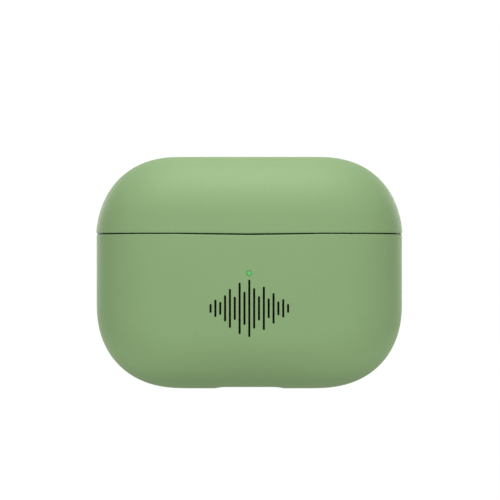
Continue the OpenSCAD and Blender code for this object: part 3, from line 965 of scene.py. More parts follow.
# ---------------------------------------------------------------- the cover
def rim_bead():
    """A low ridge inside the sleeve's rim, deep in the wall in front and out near the wall's
    face at the two ends. It stops short of the hinge side. Its outer face carries painted
    shade: near-black green for the shadow in the seam's gap, paler where it runs out."""
    path = [(1, a) for a in np.linspace(58, -90, 60)]           # right end, in degrees
    path += [(0, v) for v in np.linspace(1, -1, 90)[1:-1]]      # front, as a share of its half
    path += [(-1, a) for a in np.linspace(-90, 58, 60)]         # left end
    points = []
    for side, v in path:
        deep = 0.1 + 0.75 * float(np.clip((abs(v) - 14) / 22, 0, 1)) if side else 0.85
        section = ((deep, 31.3), (deep, 31.82), (deep + 0.06, 31.9), (deep + 0.14, 31.93),
                   (1.02, 31.93), (1.1, 31.86), (1.1, 31.3))    # inset, z
        for inset, z in section:
            dip = 0.0
            if side:
                angle = math.radians(v)
                x = side * (STRAIGHT + (END_LENGTH - inset)
                            * abs(math.cos(angle)) ** (2 / END_POWER))
                y = (HALF_DEPTH - inset) * math.copysign(
                    abs(math.sin(angle)) ** (2 / END_POWER), math.sin(angle))
            else:
                x, y = STRAIGHT * v, -(HALF_DEPTH - inset)
                dip = 0.15 * max(0.0, 1 - abs(x) / DIP_HALF) ** 0.8
            drop = min(0.5, max(0.0, (y - 6.5) / 2.5 * 0.5))
            points.append((x, y, z - drop - (dip if z > 31.4 else 0.0)))
    loops = loops_of(len(path), len(section))
    painted_shade_bead = mesh_piece("painted_shade_bead", points, stitch(loops) + [loops[0][::-1], loops[-1]])
    paint(painted_shade_bead, finish["painted_shade_bead"], finish["cover"], finish["painted_shade_end"])
    for polygon in painted_shade_bead.data.polygons:
        # Only the outer face is dark, painted shade for the seam's gap; it is paler where it runs
        # out at the two ends.
        centre, normal = polygon.center, polygon.normal
        end_x = centre.x - max(-STRAIGHT * MM, min(STRAIGHT * MM, centre.x))
        if end_x * normal.x + centre.y * normal.y < 0 or abs(normal.z) > 0.8:
            polygon.material_index = 1
        elif abs(centre.x) > 31.12 * MM:
            polygon.material_index = 2
    return painted_shade_bead


COVER_STEPS = dict(insets=(0.0, COVER_WALL), straight=96, end=72)
CASE_STEPS = dict(straight=80, end=56, rounding=34)


def build_sleeve():
    shell = Shell(LOWER, **COVER_STEPS, rounding=46, skirt=20, rim=Rim(
        z=31.755, notch_half=COVER_NOTCH_HALF, notch_z=25.3, floor_radius=2.4, edge_radius=0.8,
        dip=0.22))
    shell.hole(wall_window(LED_Z, -1, 1.75, 1.75), circle_outline(0.6),
               wall_plane(LED_Z, -1), fillet=0.1)
    shell.hole(wall_window(BUTTON_Z, 1, 4.7, 4.3), circle_outline(3.0),
               wall_plane(BUTTON_Z, 1), fillet=0.35)
    shell.hole(lambda x, y, z: abs(x) < 9.2 and z < 1.25, rect_outline(13.6, 7.8, 2.05),
               floor_plane(), fillet=0.3)
    wall = paint(shell.build("sleeve_wall"), finish["cover"])
    place(merge("sleeve_skin", [wall, rim_bead()]), "sleeve", None, "cover_sleeve")


def build_cap():
    shell = Shell(UPPER, **COVER_STEPS, rounding=40, skirt=14, rim=Rim(
        z=32.0, notch_half=COVER_NOTCH_HALF, notch_z=35.3, floor_radius=2.4, edge_radius=0.8,
        dip=0.14))
    place(shell.build("cap_skin"), "cap", finish["cover"], "cover_cap")


def build_printed_wave():
    """A printed sound wave of rounded upright bars on the sleeve's front."""
    heights = [1.8, 3.5, 2.6, 5.3, 7.9, 4.7, 10.4, 6.7, 11.6, 8.2, 4.9, 8.8, 4.0, 6.2, 2.8, 3.7, 1.8]
    pitch, width, middle_z, longest_edge = 0.98, 0.43, 16.7, 0.5
    bars = []
    for i, height in enumerate(heights):
        x = (i - (len(heights) - 1) / 2) * pitch
        coarse = rounded_rect((x, middle_z), (width, height), width / 2, 5)
        outline = []
        for a, b in zip(coarse, coarse[1:] + coarse[:1]):
            count = max(1, int(math.dist(a, b) / longest_edge))
            outline += [(a[0] + (b[0] - a[0]) * q / count, a[1] + (b[1] - a[1]) * q / count)
                        for q in range(count)]
        bar = plate("bar%d" % i, outline, "y", (-(HALF_DEPTH + 0.03), -(HALF_DEPTH - 0.05)),
                    bevel=0.02, bevel_steps=2)
        for v in bar.data.vertices:
            # The print follows the face where it starts to curve under.
            v.co.y += (HALF_DEPTH - float(LOWER.face_y(v.co.x / MM, v.co.z / MM, 0.0))) * MM
        bars.append(paint(bar, finish["ink"]))
    place(merge("printed_wave", bars), "sleeve")


# ---------------------------------------------------------------- the case
def build_body():
    shell = Shell(LOWER, (CASE_INSET, 2.55), **CASE_STEPS, skirt=20, rim=Rim(
        z=31.85, notch_half=13.1, notch_z=25.5, floor_radius=0.5, edge_radius=0.35))
    shell.hole(wall_window(LED_Z, -1, 1.75, 1.75), circle_outline(0.58),
               wall_plane(LED_Z, -1), fillet=0.06)
    shell.hole(wall_window(BUTTON_Z, 1, 4.2, 3.6), circle_outline(2.46),
               wall_plane(BUTTON_Z, 1), fillet=0.16)
    shell.hole(lambda x, y, z: abs(x) < 6.6 and z < 2.9 and abs(y) < 4.0,
               rect_outline(9.4, 3.7, 1.84), floor_plane(), fillet=0.18)
    place(shell.build("case_body_skin"), "case", finish["white"], "case_body_shell")


def build_lid():
    shell = Shell(UPPER, (CASE_INSET, 2.3), **CASE_STEPS, skirt=14, rim=Rim(
        z=31.95, notch_half=8.1, notch_z=34.15, floor_radius=0.4, edge_radius=0.3))
    place(shell.build("case_lid_skin"), "lid", finish["white"], "case_lid_shell")


def build_liner():
    """The lid's lining, with a magnet tray in front and two screw bosses at the back."""
    shell = Shell(UPPER, (2.42, 3.3), straight=72, end=48, rounding=30, skirt=12, rim=Rim(
        z=32.15, notch_half=8.0, notch_z=34.15, floor_radius=0.4, edge_radius=0.3))
    dome = shell.build("liner_dome")
    tray = box((-7, -9.2, 32.15), (7, -7.1, 34.8), 0.3).cut(
        box((-6.1, -8.9, 32.6), (6.1, -7.35, 36), 0.1))
    boss = rod("z", LEAF_SCREW, (34.2, 37.2), 1.3, 0.15).cut(rod("z", LEAF_SCREW, (33, 36.2), 0.52))
    housing = carve("liner_housing", tray.join(boss).twinned(),
                    (-7.6, -9.8, 31.6), (7.6, 9.9, 37.8), 0.17)
    place(merge("lid_liner_moulding", [dome, housing]), "lid", finish["inner"],
          "lid_liner")


# ---------------------------------------------------------------- earbuds and cradle
HEAD, HEAD_OUTER = (HEAD_X, 0, HEAD_Z), (VENT_X, 0, 34.6)   # centres of the head's two balls
NOZZLE, STEM = (0, TIP_Z), (STEM_X, 0)                      # axes along x and along z


def bud_form(grow=0.0, blend=1.1):
    """The outside of the right bud without its ear tip, grown by a margin."""
    head = ball(HEAD, 6.8).join(ball(HEAD_OUTER, 5.8), 1.6)
    return head.join(rod("z", STEM, (9.4, 31.4), STEM_RADIUS, 0.7), blend).grown(grow)


def bud_solid():
    hollow = ball(HEAD, 5.9).join(ball(HEAD_OUTER, 4.9), 1.0)
    hollow = hollow.join(rod("z", STEM, (11, 31), STEM_RADIUS - 0.8, 0.5), 0.6)
    groove = Solid(lambda x, y, z: np.sqrt(
        (np.sqrt((x - STEM_X) ** 2 + y ** 2) - STEM_RADIUS) ** 2 + (z - 24.6) ** 2) - 0.16)
    microphone = rod("y", (STEM_X, 11.6), (-3.2, -2.0), 0.42, 0.1)
    solid = bud_form().join(rod("x", NOZZLE, (7, 12), 3, 0.25), 0.8).cut(hollow)
    solid = solid.cut(rod("x", NOZZLE, (5, 13), 2.2), 0.2)
    solid = solid.cut(rod("z", (VENT_X, 0), (37, 42), 1.9), 0.25)
    return solid.cut(groove, 0.08).cut(microphone, 0.1)


# Turned outlines of the bud's parts: radius, distance along the axis, rounding.
TIP_PROFILE = [
    (2.35, 3.22, 0.3), (3.3, 3.22, 0.5), (4.4, 3.7, 0.9), (5.0, 5.0, 1.0), (5.19, 6.6, 1.2),
    (5.1, 8.2, 0.22), (4.62, 8.2, 0.22), (4.6, 6.6, 1.0), (4.3, 5.4, 0.6), (3.92, 4.6, 0.15),
    (3.72, 4.9, 0.2), (3.72, 8.3, 0.25), (3.07, 8.3, 0.2), (3.05, 6.9, 0.5), (3.05, 4.2, 0.3),
    (2.35, 4.2, 0.2)]
DRIVER_PROFILE = [
    (0, 12.6, 0), (1.6, 12.6, 0.1), (1.9, 12.75, 0.1), (3.4, 12.75, 0.1), (3.6, 12.6, 0.1),
    (3.9, 12.6, 0.1), (3.9, 13.4, 0.15), (2.6, 13.4, 0.1), (2.6, 14.4, 0.15), (0.7, 14.4, 0.08),
    (0.7, 14.2, 0.05), (0, 14.2, 0)]
CELL_PROFILE = [
    (0, 15.0, 0), (3.3, 15.0, 0.1), (3.5, 15.12, 0.1), (4.0, 15.12, 0.1), (4.0, 15.3, 0.1),
    (4.4, 15.3, 0.15), (4.4, 18.4, 0.4), (1.2, 18.4, 0.05), (1.1, 18.34, 0.05), (0, 18.34, 0)]
PIN_PROFILE = [
    (0, 6.6, 0), (0.44, 6.6, 0.06), (0.44, 7.9, 0.03), (0.38, 7.95, 0.03), (0.38, 8.1, 0.03),
    (0.44, 8.15, 0.03), (0.44, 8.84, 0.1), (0.25, 9.03, 0.1), (0, 9.03, 0)]
# The nozzle's mesh is slightly dished and the vent's slightly domed: radius, distance.
NOZZLE_MESH_PROFILE = [(2.13 * f, 7.0 + 0.05 * f * f) for f in (0, 0.25, 0.5, 0.75, 0.94)] + [
    (2.15, 7.1), (2.15, 7.28), (2.1, 7.3), (1.0, 7.3), (0, 7.3)]
VENT_MESH_PROFILE = [(0, 39.6), (1.8, 39.6), (1.85, 39.65), (1.85, 39.88), (1.8, 39.93)] + [
    (1.8 * f, 39.93 + 0.04 * (1 - f * f)) for f in (0.75, 0.5, 0.25, 0)]
# Chips on the stem's board: x from the stem's middle, z, width, height, thickness.
STEM_CHIPS = [(0, 23.6, 2.2, 2.6, 0.5), (0.2, 19.6, 1.5, 1.5, 0.4), (-0.6, 16.4, 0.9, 0.5, 0.3),
              (0.7, 16.4, 0.5, 0.9, 0.3), (0, 13.4, 1.7, 1.4, 0.45)]


def build_bud(side, sign, surface):
    """One bud with the spring pins and pin block below it; sign is +1 right, -1 left."""
    bud, axis, mirror = side + "_bud", "x" if sign > 0 else "-x", sign < 0

    def turned(part, profile, height, segments, **options):
        return lathe(side + part, profile, (0, 0, height), axis, segments, **options)

    def contacts(name, profile):
        pair = [lathe("contact", profile, (sign * STEM_X + j * PIN_OFFSET, 0, 0), "z", 32)
                for j in (-1, 1)]
        return merge(side + name, pair)

    place(net_piece(side + "_bud_body", *surface, mirror), bud, finish["bud"],
          side + "_bud_shell")
    place(turned("_tip", rounded(TIP_PROFILE), TIP_Z, 72, closed=True), bud,
          finish["tip"], side + "_ear_tip")
    place(turned("_nozzle_grille", NOZZLE_MESH_PROFILE, TIP_Z, 48), bud,
          finish["mesh"], side + "_nozzle_mesh")
    place(lathe(side + "_vent_grille", VENT_MESH_PROFILE, (sign * VENT_X, 0, 0), "z", 48), bud,
          finish["mesh"], side + "_vent_mesh")
    place(turned("_driver_unit", rounded(DRIVER_PROFILE, 3), HEAD_Z, 56), bud,
          finish["can"], side + "_driver")
    place(turned("_button_cell", rounded(CELL_PROFILE), HEAD_Z + 0.4, 64), bud,
          finish["can"], side + "_bud_cell")
    circuit = [rect_plate(side + "_stem_pcb", finish["board"], "y", (sign * STEM_X, 19.2),
                          (3.0, 16.0), (-0.3, 0.3), corner=0.25, corner_steps=3, bevel=0.03)]
    for x, z, width, height, thickness in STEM_CHIPS:
        circuit.append(rect_plate(
            "chip", finish["chip" if thickness > 0.35 else "solder"], "y",
            (sign * (STEM_X + x), z), (width, height), (-0.3 - thickness, -0.29),
            corner=0.08, corner_steps=2, bevel=0.05))
    place(merge(side + "_stem_circuit", circuit), bud, None, side + "_stem_board")
    place(contacts("_charge_pads", rod_profile(0.75, 9.05, 9.39, 0.12, 0.05, 3)), bud,
          finish["gold"], side + "_bud_contacts")
    place(contacts("_spring_pins", rounded(PIN_PROFILE, 3)), side + "_pins",
          finish["gold"], side + "_contact_pins")
    block = box((STEM_X - 2.9, -1.7, 6.1), (STEM_X + 2.9, 1.7, 8.2), 0.25)
    for x in (STEM_X - PIN_OFFSET, STEM_X + PIN_OFFSET):
        block = block.cut(rod("z", (x, 0), (6.4, 9.4), 0.5), 0.12)
    place(carve(side + "_pin_block", block, (STEM_X - 3.3, -2.1, 5.7), (STEM_X + 3.3, 2.1, 8.6),
                0.1, mirror), "case", finish["black"], side + "_contact_block")


def full_section(inset):
    """An upright prism with the form's full outline at an inset."""
    def distance(x, y, z):
        end = np.maximum(np.abs(x) - STRAIGHT, 0) / (END_LENGTH - inset)
        depth = HALF_DEPTH - inset
        total = end ** END_POWER + (np.abs(y) / depth) ** END_POWER
        return (total ** (1 / END_POWER) - 1) * depth
    return Solid(distance)


def build_cradle():
    """A deck under the rim with a well for each bud and the mounts for magnets and hinge."""
    deck = full_section(2.66).keep(slab("z", 30.85, 0.55), 0.25)
    holder = bud_form(1.1, 1.6).join(rod("x", NOZZLE, (2.1, 12), 6.3), 0.5)
    holder = holder.join(rod("z", STEM, (8.3, 31), STEM_RADIUS + 1, 0.3), 0.5)
    holder = holder.keep(Solid(lambda x, y, z: z - 31.4)).keep(slab("y", 0, 9))
    holder = holder.keep(Solid(lambda x, y, z: 8.3 - z))
    tray = deck.join(holder, 0.6)
    tray = tray.join(rod("z", (BUD_MAGNET_X, 0), (20, 30.6), 2.0, 0.2), 0.5)
    # The hinge mount: a low shelf, two posts and a thin web behind them.
    tray = tray.join(box((-12.6, 6.6, 22.5), (12.6, 9.2, 25.6), 0.2), 0.2)
    tray = tray.join(box((11.0, 6.6, 25), (12.6, 8.6, 30.6), 0.2), 0.2)
    tray = tray.join(box((-14.3, 8.25, 26.8), (14.3, 8.68, 30.6), 0.1), 0.15)
    well = bud_form(0.35, 1.5).join(rod("x", NOZZLE, (2.8, 12), 5.55), 0.6)
    well = well.join(rod("z", STEM, (6.8, 31), STEM_RADIUS + 0.3), 0.3)
    tray = tray.cut(well, 0.5)
    tray = tray.cut(rod("z", (BUD_MAGNET_X, 0), (19, 25.1), 1.46), 0.15)
    tray = tray.cut(rod("z", BRACKET_SCREW, (23, 27), 0.52), 0.1)
    tray = tray.cut(box((-13.3, 8.75, 25.9), (13.3, 12, 33), 0.1), 0.1)
    place(carve("cradle_moulding", tray.twinned(), (-29.6, -10.2, 7.9), (29.6, 10.2, 31.9), 0.27),
          "case", finish["inner"], "cradle_tray")


# ---------------------------------------------------------------- hinge
def screw(centre, z, up):
    """Pan-head screw with a cross recess; z is the underside of its head."""
    x, y = centre

    def local(shape):
        """A solid from its distance by offsets a, b from the axis and q towards the head."""
        return Solid(lambda px, py, pz: shape(px - x, py - y, (pz - z) * up))

    def shank(a, b, q):
        # A rolled thread of 0.4 pitch.
        thread = 0.46 + 0.045 * np.cos(2 * math.pi * q / 0.4 - np.arctan2(b, a))
        return np.maximum(np.sqrt(a * a + b * b) - thread, np.abs(q + 1.2) - 1.3)

    def recess(a, b, q):
        cross = np.minimum(np.maximum(np.abs(a) - 0.42, np.abs(b) - 0.11),
                           np.maximum(np.abs(b) - 0.42, np.abs(a) - 0.11))
        return np.maximum(cross, 0.22 - q)

    head = local(lambda a, b, q: np.sqrt(a * a + b * b) - 0.95).keep(
        local(lambda a, b, q: np.abs(q - 0.25) - 0.25), 0.2)
    low, high = sorted((z - up * 2.7, z + up * 0.7))
    return carve("screw", head.join(local(shank), 0.08).cut(local(recess), 0.04),
                 (x - 1.15, y - 1.15, low), (x + 1.15, y + 1.15, high), 0.065)


def build_hinge():
    front, back = HINGE_PLATE
    axis = (HINGE_Y, HINGE_Z)
    bracket = box((-BRACKET_HALF, front, 25.65), (BRACKET_HALF, back, 27.4), 0.12)
    bracket = bracket.join(box((8.1, front, 26.6), (BRACKET_HALF, back, HINGE_Z), 0.12))
    bracket = bracket.join(rod("x", axis, (8.1, BRACKET_HALF), KNUCKLE_RADIUS, 0.1), 0.15)
    bracket = bracket.join(box((-10.9, 6.7, 25.65), (10.9, 10.6, 26.2), 0.12), 0.3)
    bracket = bracket.cut(rod("x", axis, (-14, 14), 0.52))
    bracket = bracket.cut(rod("z", BRACKET_SCREW, (25, 27), 0.6), 0.06)
    place(carve("hinge_bracket_plate", bracket.twinned(), (-13.4, 6.3, 25.2), (13.4, 11.2, 30.2),
                0.12), "case", finish["steel"], "hinge_body_bracket")

    leaf = box((-LEAF_HALF, front, HINGE_Z), (LEAF_HALF, back, 34.1), 0.12)
    leaf = leaf.join(rod("x", axis, (-LEAF_HALF, LEAF_HALF), KNUCKLE_RADIUS, 0.1), 0.15)
    leaf = leaf.join(box((-7.6, 6.7, 33.6), (7.6, 10.6, 34.1), 0.12), 0.3)
    leaf = leaf.cut(rod("x", axis, (-9, 9), 0.55))
    leaf = leaf.cut(rod("z", LEAF_SCREW, (33, 35), 0.6), 0.06)
    place(carve("hinge_leaf_plate", leaf.twinned(), (-8.4, 6.3, 27.6), (8.4, 11.2, 34.5), 0.12),
          "lid", finish["steel"], "hinge_lid_leaf")

    place(lathe("hinge_pin_rod", rod_profile(0.5, -12.9, 12.9, 0.14, 0.14), (0, *axis), "x", 40),
          "case", finish["pin"], "hinge_pin")
    for name, body, (x, y), z, up, node in (
            ("bracket_screws", "case", BRACKET_SCREW, 26.22, 1, "hinge_body_screws"),
            ("leaf_screws", "lid", LEAF_SCREW, 33.58, -1, "hinge_lid_screws")):
        pair = [screw((side * x, y), z, up) for side in (-1, 1)]
        place(merge(name, pair), body, finish["screw"], node)


# ---------------------------------------------------------------- button, switch, light
def build_button_and_light():
    dish = [(f * 1.75, 10.62 + 0.14 * f * f, 0) for f in (1.0, 0.75, 0.5, 0.25, 0)]
    button = [(0, 8.95, 0), (2.9, 8.95, 0.12), (2.9, 9.45, 0.12), (2.4, 9.45, 0.06),
              (2.4, 10.8, 0.3), (2.0, 10.8, 0.15)] + dish
    place(lathe("pairing_button_cap", rounded(button), (0, 0, BUTTON_Z), "y", 80),
          "button", finish["button"], "pairing_button")
    place(lathe("switch_plunger", rod_profile(0.8, 7.9, 8.93, 0.08, 0.2), (0, 0, BUTTON_Z), "y",
                40), "plunger", finish["black"], "tact_plunger")
    can = box((-1.7, 7.42, BUTTON_Z - 1.7), (1.7, 8.3, BUTTON_Z + 1.7), 0.12)
    can = can.cut(rod("y", (0, BUTTON_Z), (7.5, 9), 0.86), 0.05)
    place(carve("switch_can", can, (-2, 7.1, BUTTON_Z - 2), (2, 8.6, BUTTON_Z + 2), 0.08),
          "case", finish["can"], "tact_switch")
    lens = [(0, 10.83), (0.3, 10.81), (0.47, 10.76), (0.53, 10.7), (0.55, 10.6), (0.55, 9.6),
            (0.5, 9.52), (0, 9.52)]
    place(lathe("light_pipe_lens", lens, (0, 0, LED_Z), "-y", 48),
          "case", finish["lens"], "light_pipe")
    led = box((-0.8, -9.2, LED_Z - 0.5), (0.8, -8.92, LED_Z + 0.5), 0.04).join(
        box((-0.55, -9.47, LED_Z - 0.4), (0.55, -9.0, LED_Z + 0.4), 0.15))
    place(carve("status_led_chip", led, (-1, -9.7, LED_Z - 0.8), (1, -8.7, LED_Z + 0.8), 0.05),
          "case", finish["lens"], "status_led")


# ---------------------------------------------------------------- battery, boards, port
def build_battery():
    cell = box((-12.5, -4.6, 9), (12.5, 4.6, 26.4), 1.6)
    # A shallow step under the top seal, folded film down both sides and a recessed front panel.
    step = box((-12.5, -4.6, 24.6), (12.5, 4.6, 25.0)).cut(
        box((-12.3, -4.4, 20), (12.3, 4.4, 30), 1.4))
    beside_fold = box((12.3, -1.6, 9), (13, 1.6, 26)).cut(
        box((12.05, -0.9, 9.6), (12.5, 0.9, 25.4), 0.2), 0.1)
    panel = box((-9, -6, 11), (9, -4.45, 24), 0.1)
    cell = cell.cut(step, 0.1).cut(beside_fold, 0.1).cut(panel, 0.15)
    place(carve("cell_pack", cell.twinned(), (-12.9, -5.0, 8.6), (12.9, 5.0, 26.8), 0.26),
          "case", finish["cell"], "battery_cell")


def chip(material, centre, size, span, corner=0.12):
    return rect_plate("chip", finish[material], "y", centre, size, span,
                      corner=corner, corner_steps=2, bevel=0.06, bevel_steps=2)


# Main board packages: finish, centre (x, z), size, y span, leads per row, y span of the leads.
PACKAGES = [
    ("chip", (-7, 14), (4, 4), (7.35, 8.1), 6, (7.38, 7.52)),
    ("chip", (6.7, 18.8), (3.4, 3.6), (7.35, 8.0), 5, (7.38, 7.52)),
    ("chip", (-4, 19), (6, 4), (5.7, 6.65), 8, (6.48, 6.62)),
    ("can", (5, 13), (5, 4), (5.5, 6.65), 0, None)]
# Small parts on its back face: x, z, width, height.
SMALL_PARTS = [
    (-3.6, 10.6, 1.0, 0.5), (-2.2, 10.6, 0.5, 0.9), (3.4, 10.8, 1.0, 0.5), (4.9, 10.8, 1.0, 0.5),
    (9.6, 13.2, 0.5, 1.0), (9.6, 15.0, 0.5, 1.0), (-10.6, 19.0, 0.5, 1.0), (-10.6, 17.2, 0.5, 1.0),
    (2.4, 20.4, 1.0, 0.5), (10.4, 20.6, 1.0, 0.5)]


def build_boards():
    board = box((-12, 6.6, 9), (12, 7.4, 22.3), 0.05).cut(
        rod("y", (10.8, 10.2), (6, 8), 0.6), 0.04)
    parts = [paint(carve("pcb", board.twinned(), (-12.3, 6.3, 8.7), (12.3, 7.7, 22.6), 0.15),
                   finish["board"])]
    parts += [chip(*package[:4]) for package in PACKAGES]
    for _, (x, z), (width, height), _, count, span in PACKAGES:
        for row, k in itertools.product((-1, 1), range(count)):
            centre = (x - width / 2 + width * (k + 0.5) / count, z + row * (height / 2 + 0.15))
            parts.append(rect_plate("leg", finish["solder"], "y", centre, (0.2, 0.42), span,
                                    corner=0.05, corner_steps=1, bevel=0.02))
    for x, z, width, height in SMALL_PARTS:
        parts.append(chip("solder" if width > height else "ferrite", (x, z), (width, height),
                          (7.38, 7.8), corner=0.06))
    place(merge("main_circuit", parts), "case", None, "main_board")
    place(rect_plate("pcb", finish["board"], "z", (0, 1.5), (14, 10), (8.25, 8.8),
                     corner=0.5, corner_steps=4, bevel=0.04),
          "case", None, "port_board")
    place(rect_plate("led_circuit", finish["board"], "y", (2.75, 24.1), (15.5, 8.2),
                     (-8.9, -8.55), corner=0.6, corner_steps=4, bevel=0.03),
          "case", None, "led_board")
    place(merge("hall_chip", [chip("chip", (8.6, 27.3), (2.0, 1.4), (-8.53, -7.9), corner=0.1)]),
          "case", None, "hall_sensor")


def build_port():
    middle = (0, 0)
    can = prism("z", middle, (9.2, 3.5), 1.74).cut(prism("z", middle, (8.5, 2.8), 1.39))
    place(carve("port_can", can.keep(slab("z", 4.975, 3.225), 0.12),
                (-4.9, -2.1, 1.4), (4.9, 2.1, 8.5), 0.11),
          "case", finish["can"], "charge_port_shell")
    base = prism("z", middle, (8.46, 2.76), 1.37).keep(slab("z", 7.7, 0.5), 0.1)
    tongue = box((-3.2, -0.35, 2.9), (3.2, 0.35, 7.5), 0.12).join(base, 0.1)
    parts = [paint(carve("tongue", tongue, (-4.6, -1.7, 2.6), (4.6, 1.7, 8.5), 0.12),
                   finish["black"])]
    for k, face in itertools.product(range(9), (-1, 1)):
        parts.append(rect_plate("strip", finish["gold"], "y", ((k - 4) * 0.56, 4.9), (0.26, 2.9),
                                sorted((face * 0.33, face * 0.385)),
                                corner=0.08, corner_steps=2, bevel=0.01))
    place(merge("port_tongue_contacts", parts), "case", None,
          "charge_port_tongue")


# ---------------------------------------------------------------- coil, ferrite, magnets, pad
def build_coil():
    wires = []
    for group, strand in itertools.product(range(4), range(3)):
        grow = 1.6 * group + 0.2 + 0.48 * strand
        outline = rounded_rect((0, COIL_Z), (14.3 + grow, 6.7 + grow), 1.7 + grow / 2, 10)
        wires.append(paint(tube([(x, 8.93, z) for x, z in outline], 0.215, 10),
                           finish["copper"]))
    place(merge("coil_winding", wires), "case", None, "charging_coil")
    opening = Solid(lambda x, y, z: np.sqrt(x * x + (z - BUTTON_Z) ** 2) - 3.2)
    sheet = prism("y", (0, COIL_Z), (20.9, 12.6), 1.6).cut(opening)
    place(carve("ferrite_plate", sheet.keep(slab("y", 8.47, 0.15), 0.06),
                (-10.8, 8.1, 9.0), (10.8, 8.85, 22.3), 0.12),
          "case", finish["ferrite"], "ferrite_sheet")


def build_magnets():
    for name, body, y, depth, span, node in (
            ("body_magnet_pair", "case", -8.25, 1.5, (28.45, 30.25), "body_closure_magnets"),
            ("lid_magnet_pair", "lid", -8.15, 1.4, (32.65, 34.45), "lid_closure_magnets")):
        blocks = [rect_plate("block", finish["nickel"], "z", (side * 3.5, y), (4.8, depth), span,
                             corner=0.18, corner_steps=4, bevel=0.144, bevel_steps=3)
                  for side in (-1, 1)]
        place(merge(name, blocks), body, None, node)
    profile = rod_profile(1.4, 20.4, 24.9, 0.2, 0.2)
    rods = [lathe("rod", profile, (side * BUD_MAGNET_X, 0, 0), "z", 48) for side in (-1, 1)]
    place(merge("bud_magnet_pair", rods), "case", finish["nickel"],
          "bud_magnets")


def build_grip_pad():
    strip = box((-11, -1.25, 46.48), (11, 1.25, 46.88), 0.12)
    dimpled = Solid(lambda x, y, z: strip(x, y, z) + 0.02 * np.cos(4.2 * x) * np.cos(4.2 * y))
    place(carve("grip_pad", dimpled, (-11.3, -1.5, 46.2), (11.3, 1.5, 47.1), 0.1),
          "cap", finish["foam"], "cap_grip_strip")


build_sleeve()
build_cap()
build_printed_wave()
build_body()
build_lid()
build_liner()
bud_surface = net(bud_solid(), (6.4, -7.4, 8.8), (26.0, 7.4, 41.0), 0.2)
build_bud("right", 1, bud_surface)
build_bud("left", -1, bud_surface)
build_cradle()
build_hinge()
build_button_and_light()
build_battery()
build_boards()
build_port()
build_coil()
build_magnets()
build_grip_pad()


# ---------------------------------------------------------------- stage, light, camera
def light_world(world):
    """Even studio light that also depends on height and on the side it comes from. The camera
    itself sees plain white."""
    n = Nodes(world.node_tree)
    direction = n.node("TexCoord").outputs["Generated"]
    x, y, z = n.node("SeparateXYZ", {0: direction}).outputs
    x_squared = n.math("MULTIPLY", x, x)
    below = n.math("SUBTRACT", 1.0, z)
    total = n.math("MULTIPLY", y, -0.28)   # brighter from the front, -y
    # Lobes about x = 0: sharpness, strength times z, strength times 1 - z.
    for sharpness, above_gain, below_gain in ((0.0, 0.15, 0.18), (3.0, 0.0, 0.5), (14.0, 0.0, 0.0)):
        lobe = n.math("POWER", math.e, n.math("MULTIPLY", x_squared, -sharpness))
        gain = n.math("ADD", n.math("MULTIPLY", z, above_gain),
                      n.math("MULTIPLY", below, below_gain))
        total = n.math("ADD", total, n.math("MULTIPLY", lobe, gain))
    seen = n.node("LightPath").outputs["Is Camera Ray"]
    lit = n.math("MULTIPLY", n.math("MAXIMUM", total, 0.03), n.math("SUBTRACT", 1.0, seen))
    background = n.tree.nodes["Background"]
    n.feed(background.inputs["Strength"], n.math("ADD", lit, seen))
    background.inputs["Color"].default_value = (1, 1, 1, 1)


def floor_bounce(m):
    """Strength of the light from the paper, by distance from the object and along x; it is weaker
    under and around the object, a painted contact shadow.
    """
    oval = m.node("VectorMath", {0: m.position, 1: (1 / 34.0, 1 / 15.0, 0)}, operation="MULTIPLY")
    distance = m.node("VectorMath", {0: oval.outputs[0]}, operation="LENGTH").outputs["Value"]
    x = m.node("SeparateXYZ", {0: m.position}).outputs["X"]
    sideways = m.node("Math", {0: x}, operation="ABSOLUTE").outputs[0]
    total = 0.65
    # The first ramp keeps the glow low near the object: painted contact shadow.
    for value, gain, source in ((distance, 0.67, (0.8, 1.5)), (distance, -0.2, (1.5, 4.0)),
                                (sideways, -0.15, (22, 50))):
        total = m.math("ADD", m.remap(value, (0.0, gain), source), total)
    return total


def floor_finish():
    """Near-white paper with a faint contact shadow to the camera; to the object a glow that is
    weaker under and around it, a painted contact shadow.
    """
    m = Finish("floor_paper")
    m.surface({
        "Base Color": (0.8, 0.8, 0.8, 1), "Roughness": 0.9,
        "Normal": m.bump(m.noise(scale=0.8, detail=3), strength=0.02, depth=0.05)})
    white = m.node("Emission", {"Strength": 1.045})
    bounce = m.node("Emission", {"Strength": floor_bounce(m), "Color": (0.97, 1.0, 0.92, 1)})
    paper = m.node("MixShader", {0: 0.93, 1: m.principled.outputs[0], 2: white.outputs[0]})
    is_camera = m.node("LightPath").outputs["Is Camera Ray"]
    mixed = m.node("MixShader", {0: is_camera, 1: bounce.outputs[0], 2: paper.outputs[0]})
    output = next(n for n in m.tree.nodes if n.type == "OUTPUT_MATERIAL")
    m.feed(output.inputs["Surface"], mixed.outputs[0])
    return m.material


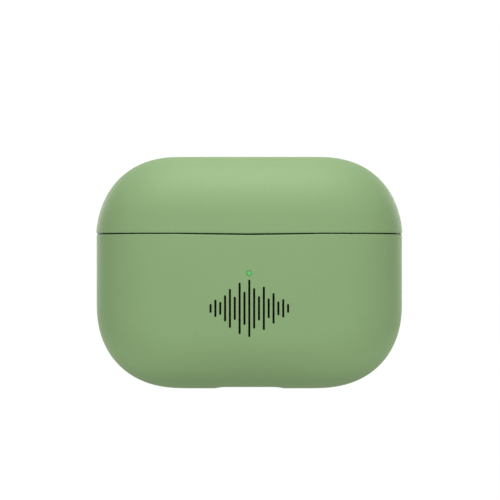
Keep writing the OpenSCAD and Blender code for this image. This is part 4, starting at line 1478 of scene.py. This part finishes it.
def build_floor():
    """A pale floor that sweeps up into a backdrop."""
    bend_y, bend_radius, half_width, gap = 450, 150, 1200, 0.02
    profile = [(-600, 0)]
    profile += [(bend_y + bend_radius * math.sin(a), bend_radius * (1 - math.cos(a)))
                for a in np.linspace(0, math.pi / 2, 24)]
    profile += [(600, 900)]
    points = [(x, y, z - gap) for y, z in profile for x in (-half_width, half_width)]
    faces = [[2 * i, 2 * i + 1, 2 * i + 3, 2 * i + 2] for i in range(len(profile) - 1)]
    paint(mesh_piece("floor", points, faces), floor_finish())


def area_light(name, location, aim, size, energy):
    light = bpy.data.lights.new(name, "AREA")
    light.energy = energy
    light.shape = "RECTANGLE"
    light.size, light.size_y = size
    obj = bpy.data.objects.new(name, light)
    obj.location = location
    obj.rotation_euler = (Vector(aim) - Vector(location)).to_track_quat("-Z", "Y").to_euler()
    bpy.context.scene.collection.objects.link(obj)
    obj.visible_camera = False


def add_camera(scene):
    camera = bpy.data.cameras.new("camera")
    camera.lens = 200
    camera.sensor_width = 36
    camera.sensor_fit = "HORIZONTAL"
    camera.clip_start, camera.clip_end = 0.01, 10
    obj = bpy.data.objects.new("camera", camera)
    view_width = 0.1033   # metres across the picture at the object's middle
    distance = view_width / 2 / math.tan(math.atan(18 / 200))
    obj.location = (0.00014, -distance, 0.0285)
    obj.rotation_euler = (math.radians(90), 0, 0)
    scene.collection.objects.link(obj)
    scene.camera = obj


def stage_and_light():
    scene = bpy.context.scene
    scene.world = bpy.data.worlds.new("studio")
    scene.world.use_nodes = True
    light_world(scene.world)
    build_floor()
    # Places and sizes in metres: one light above, a small one close above the front, and two
    # from behind so that the back and the ends stay readable.
    area_light("top_light", (0, -0.1, 0.45), aim=(0, 0, 0.04), size=(0.14, 0.3), energy=0.8)
    area_light("near_light", (0, -0.055, 0.12), aim=(0, 0, 0.04), size=(0.04, 0.04), energy=0.052)
    for name, x in (("fill_left", -0.2), ("fill_right", 0.2)):
        area_light(name, (x, 0.24, 0.08), aim=(0, 0, 0.025), size=(0.16, 0.12), energy=0.2)
    add_camera(scene)
    scene.view_settings.view_transform = "Standard"
    scene.view_settings.look = "None"


stage_and_light()
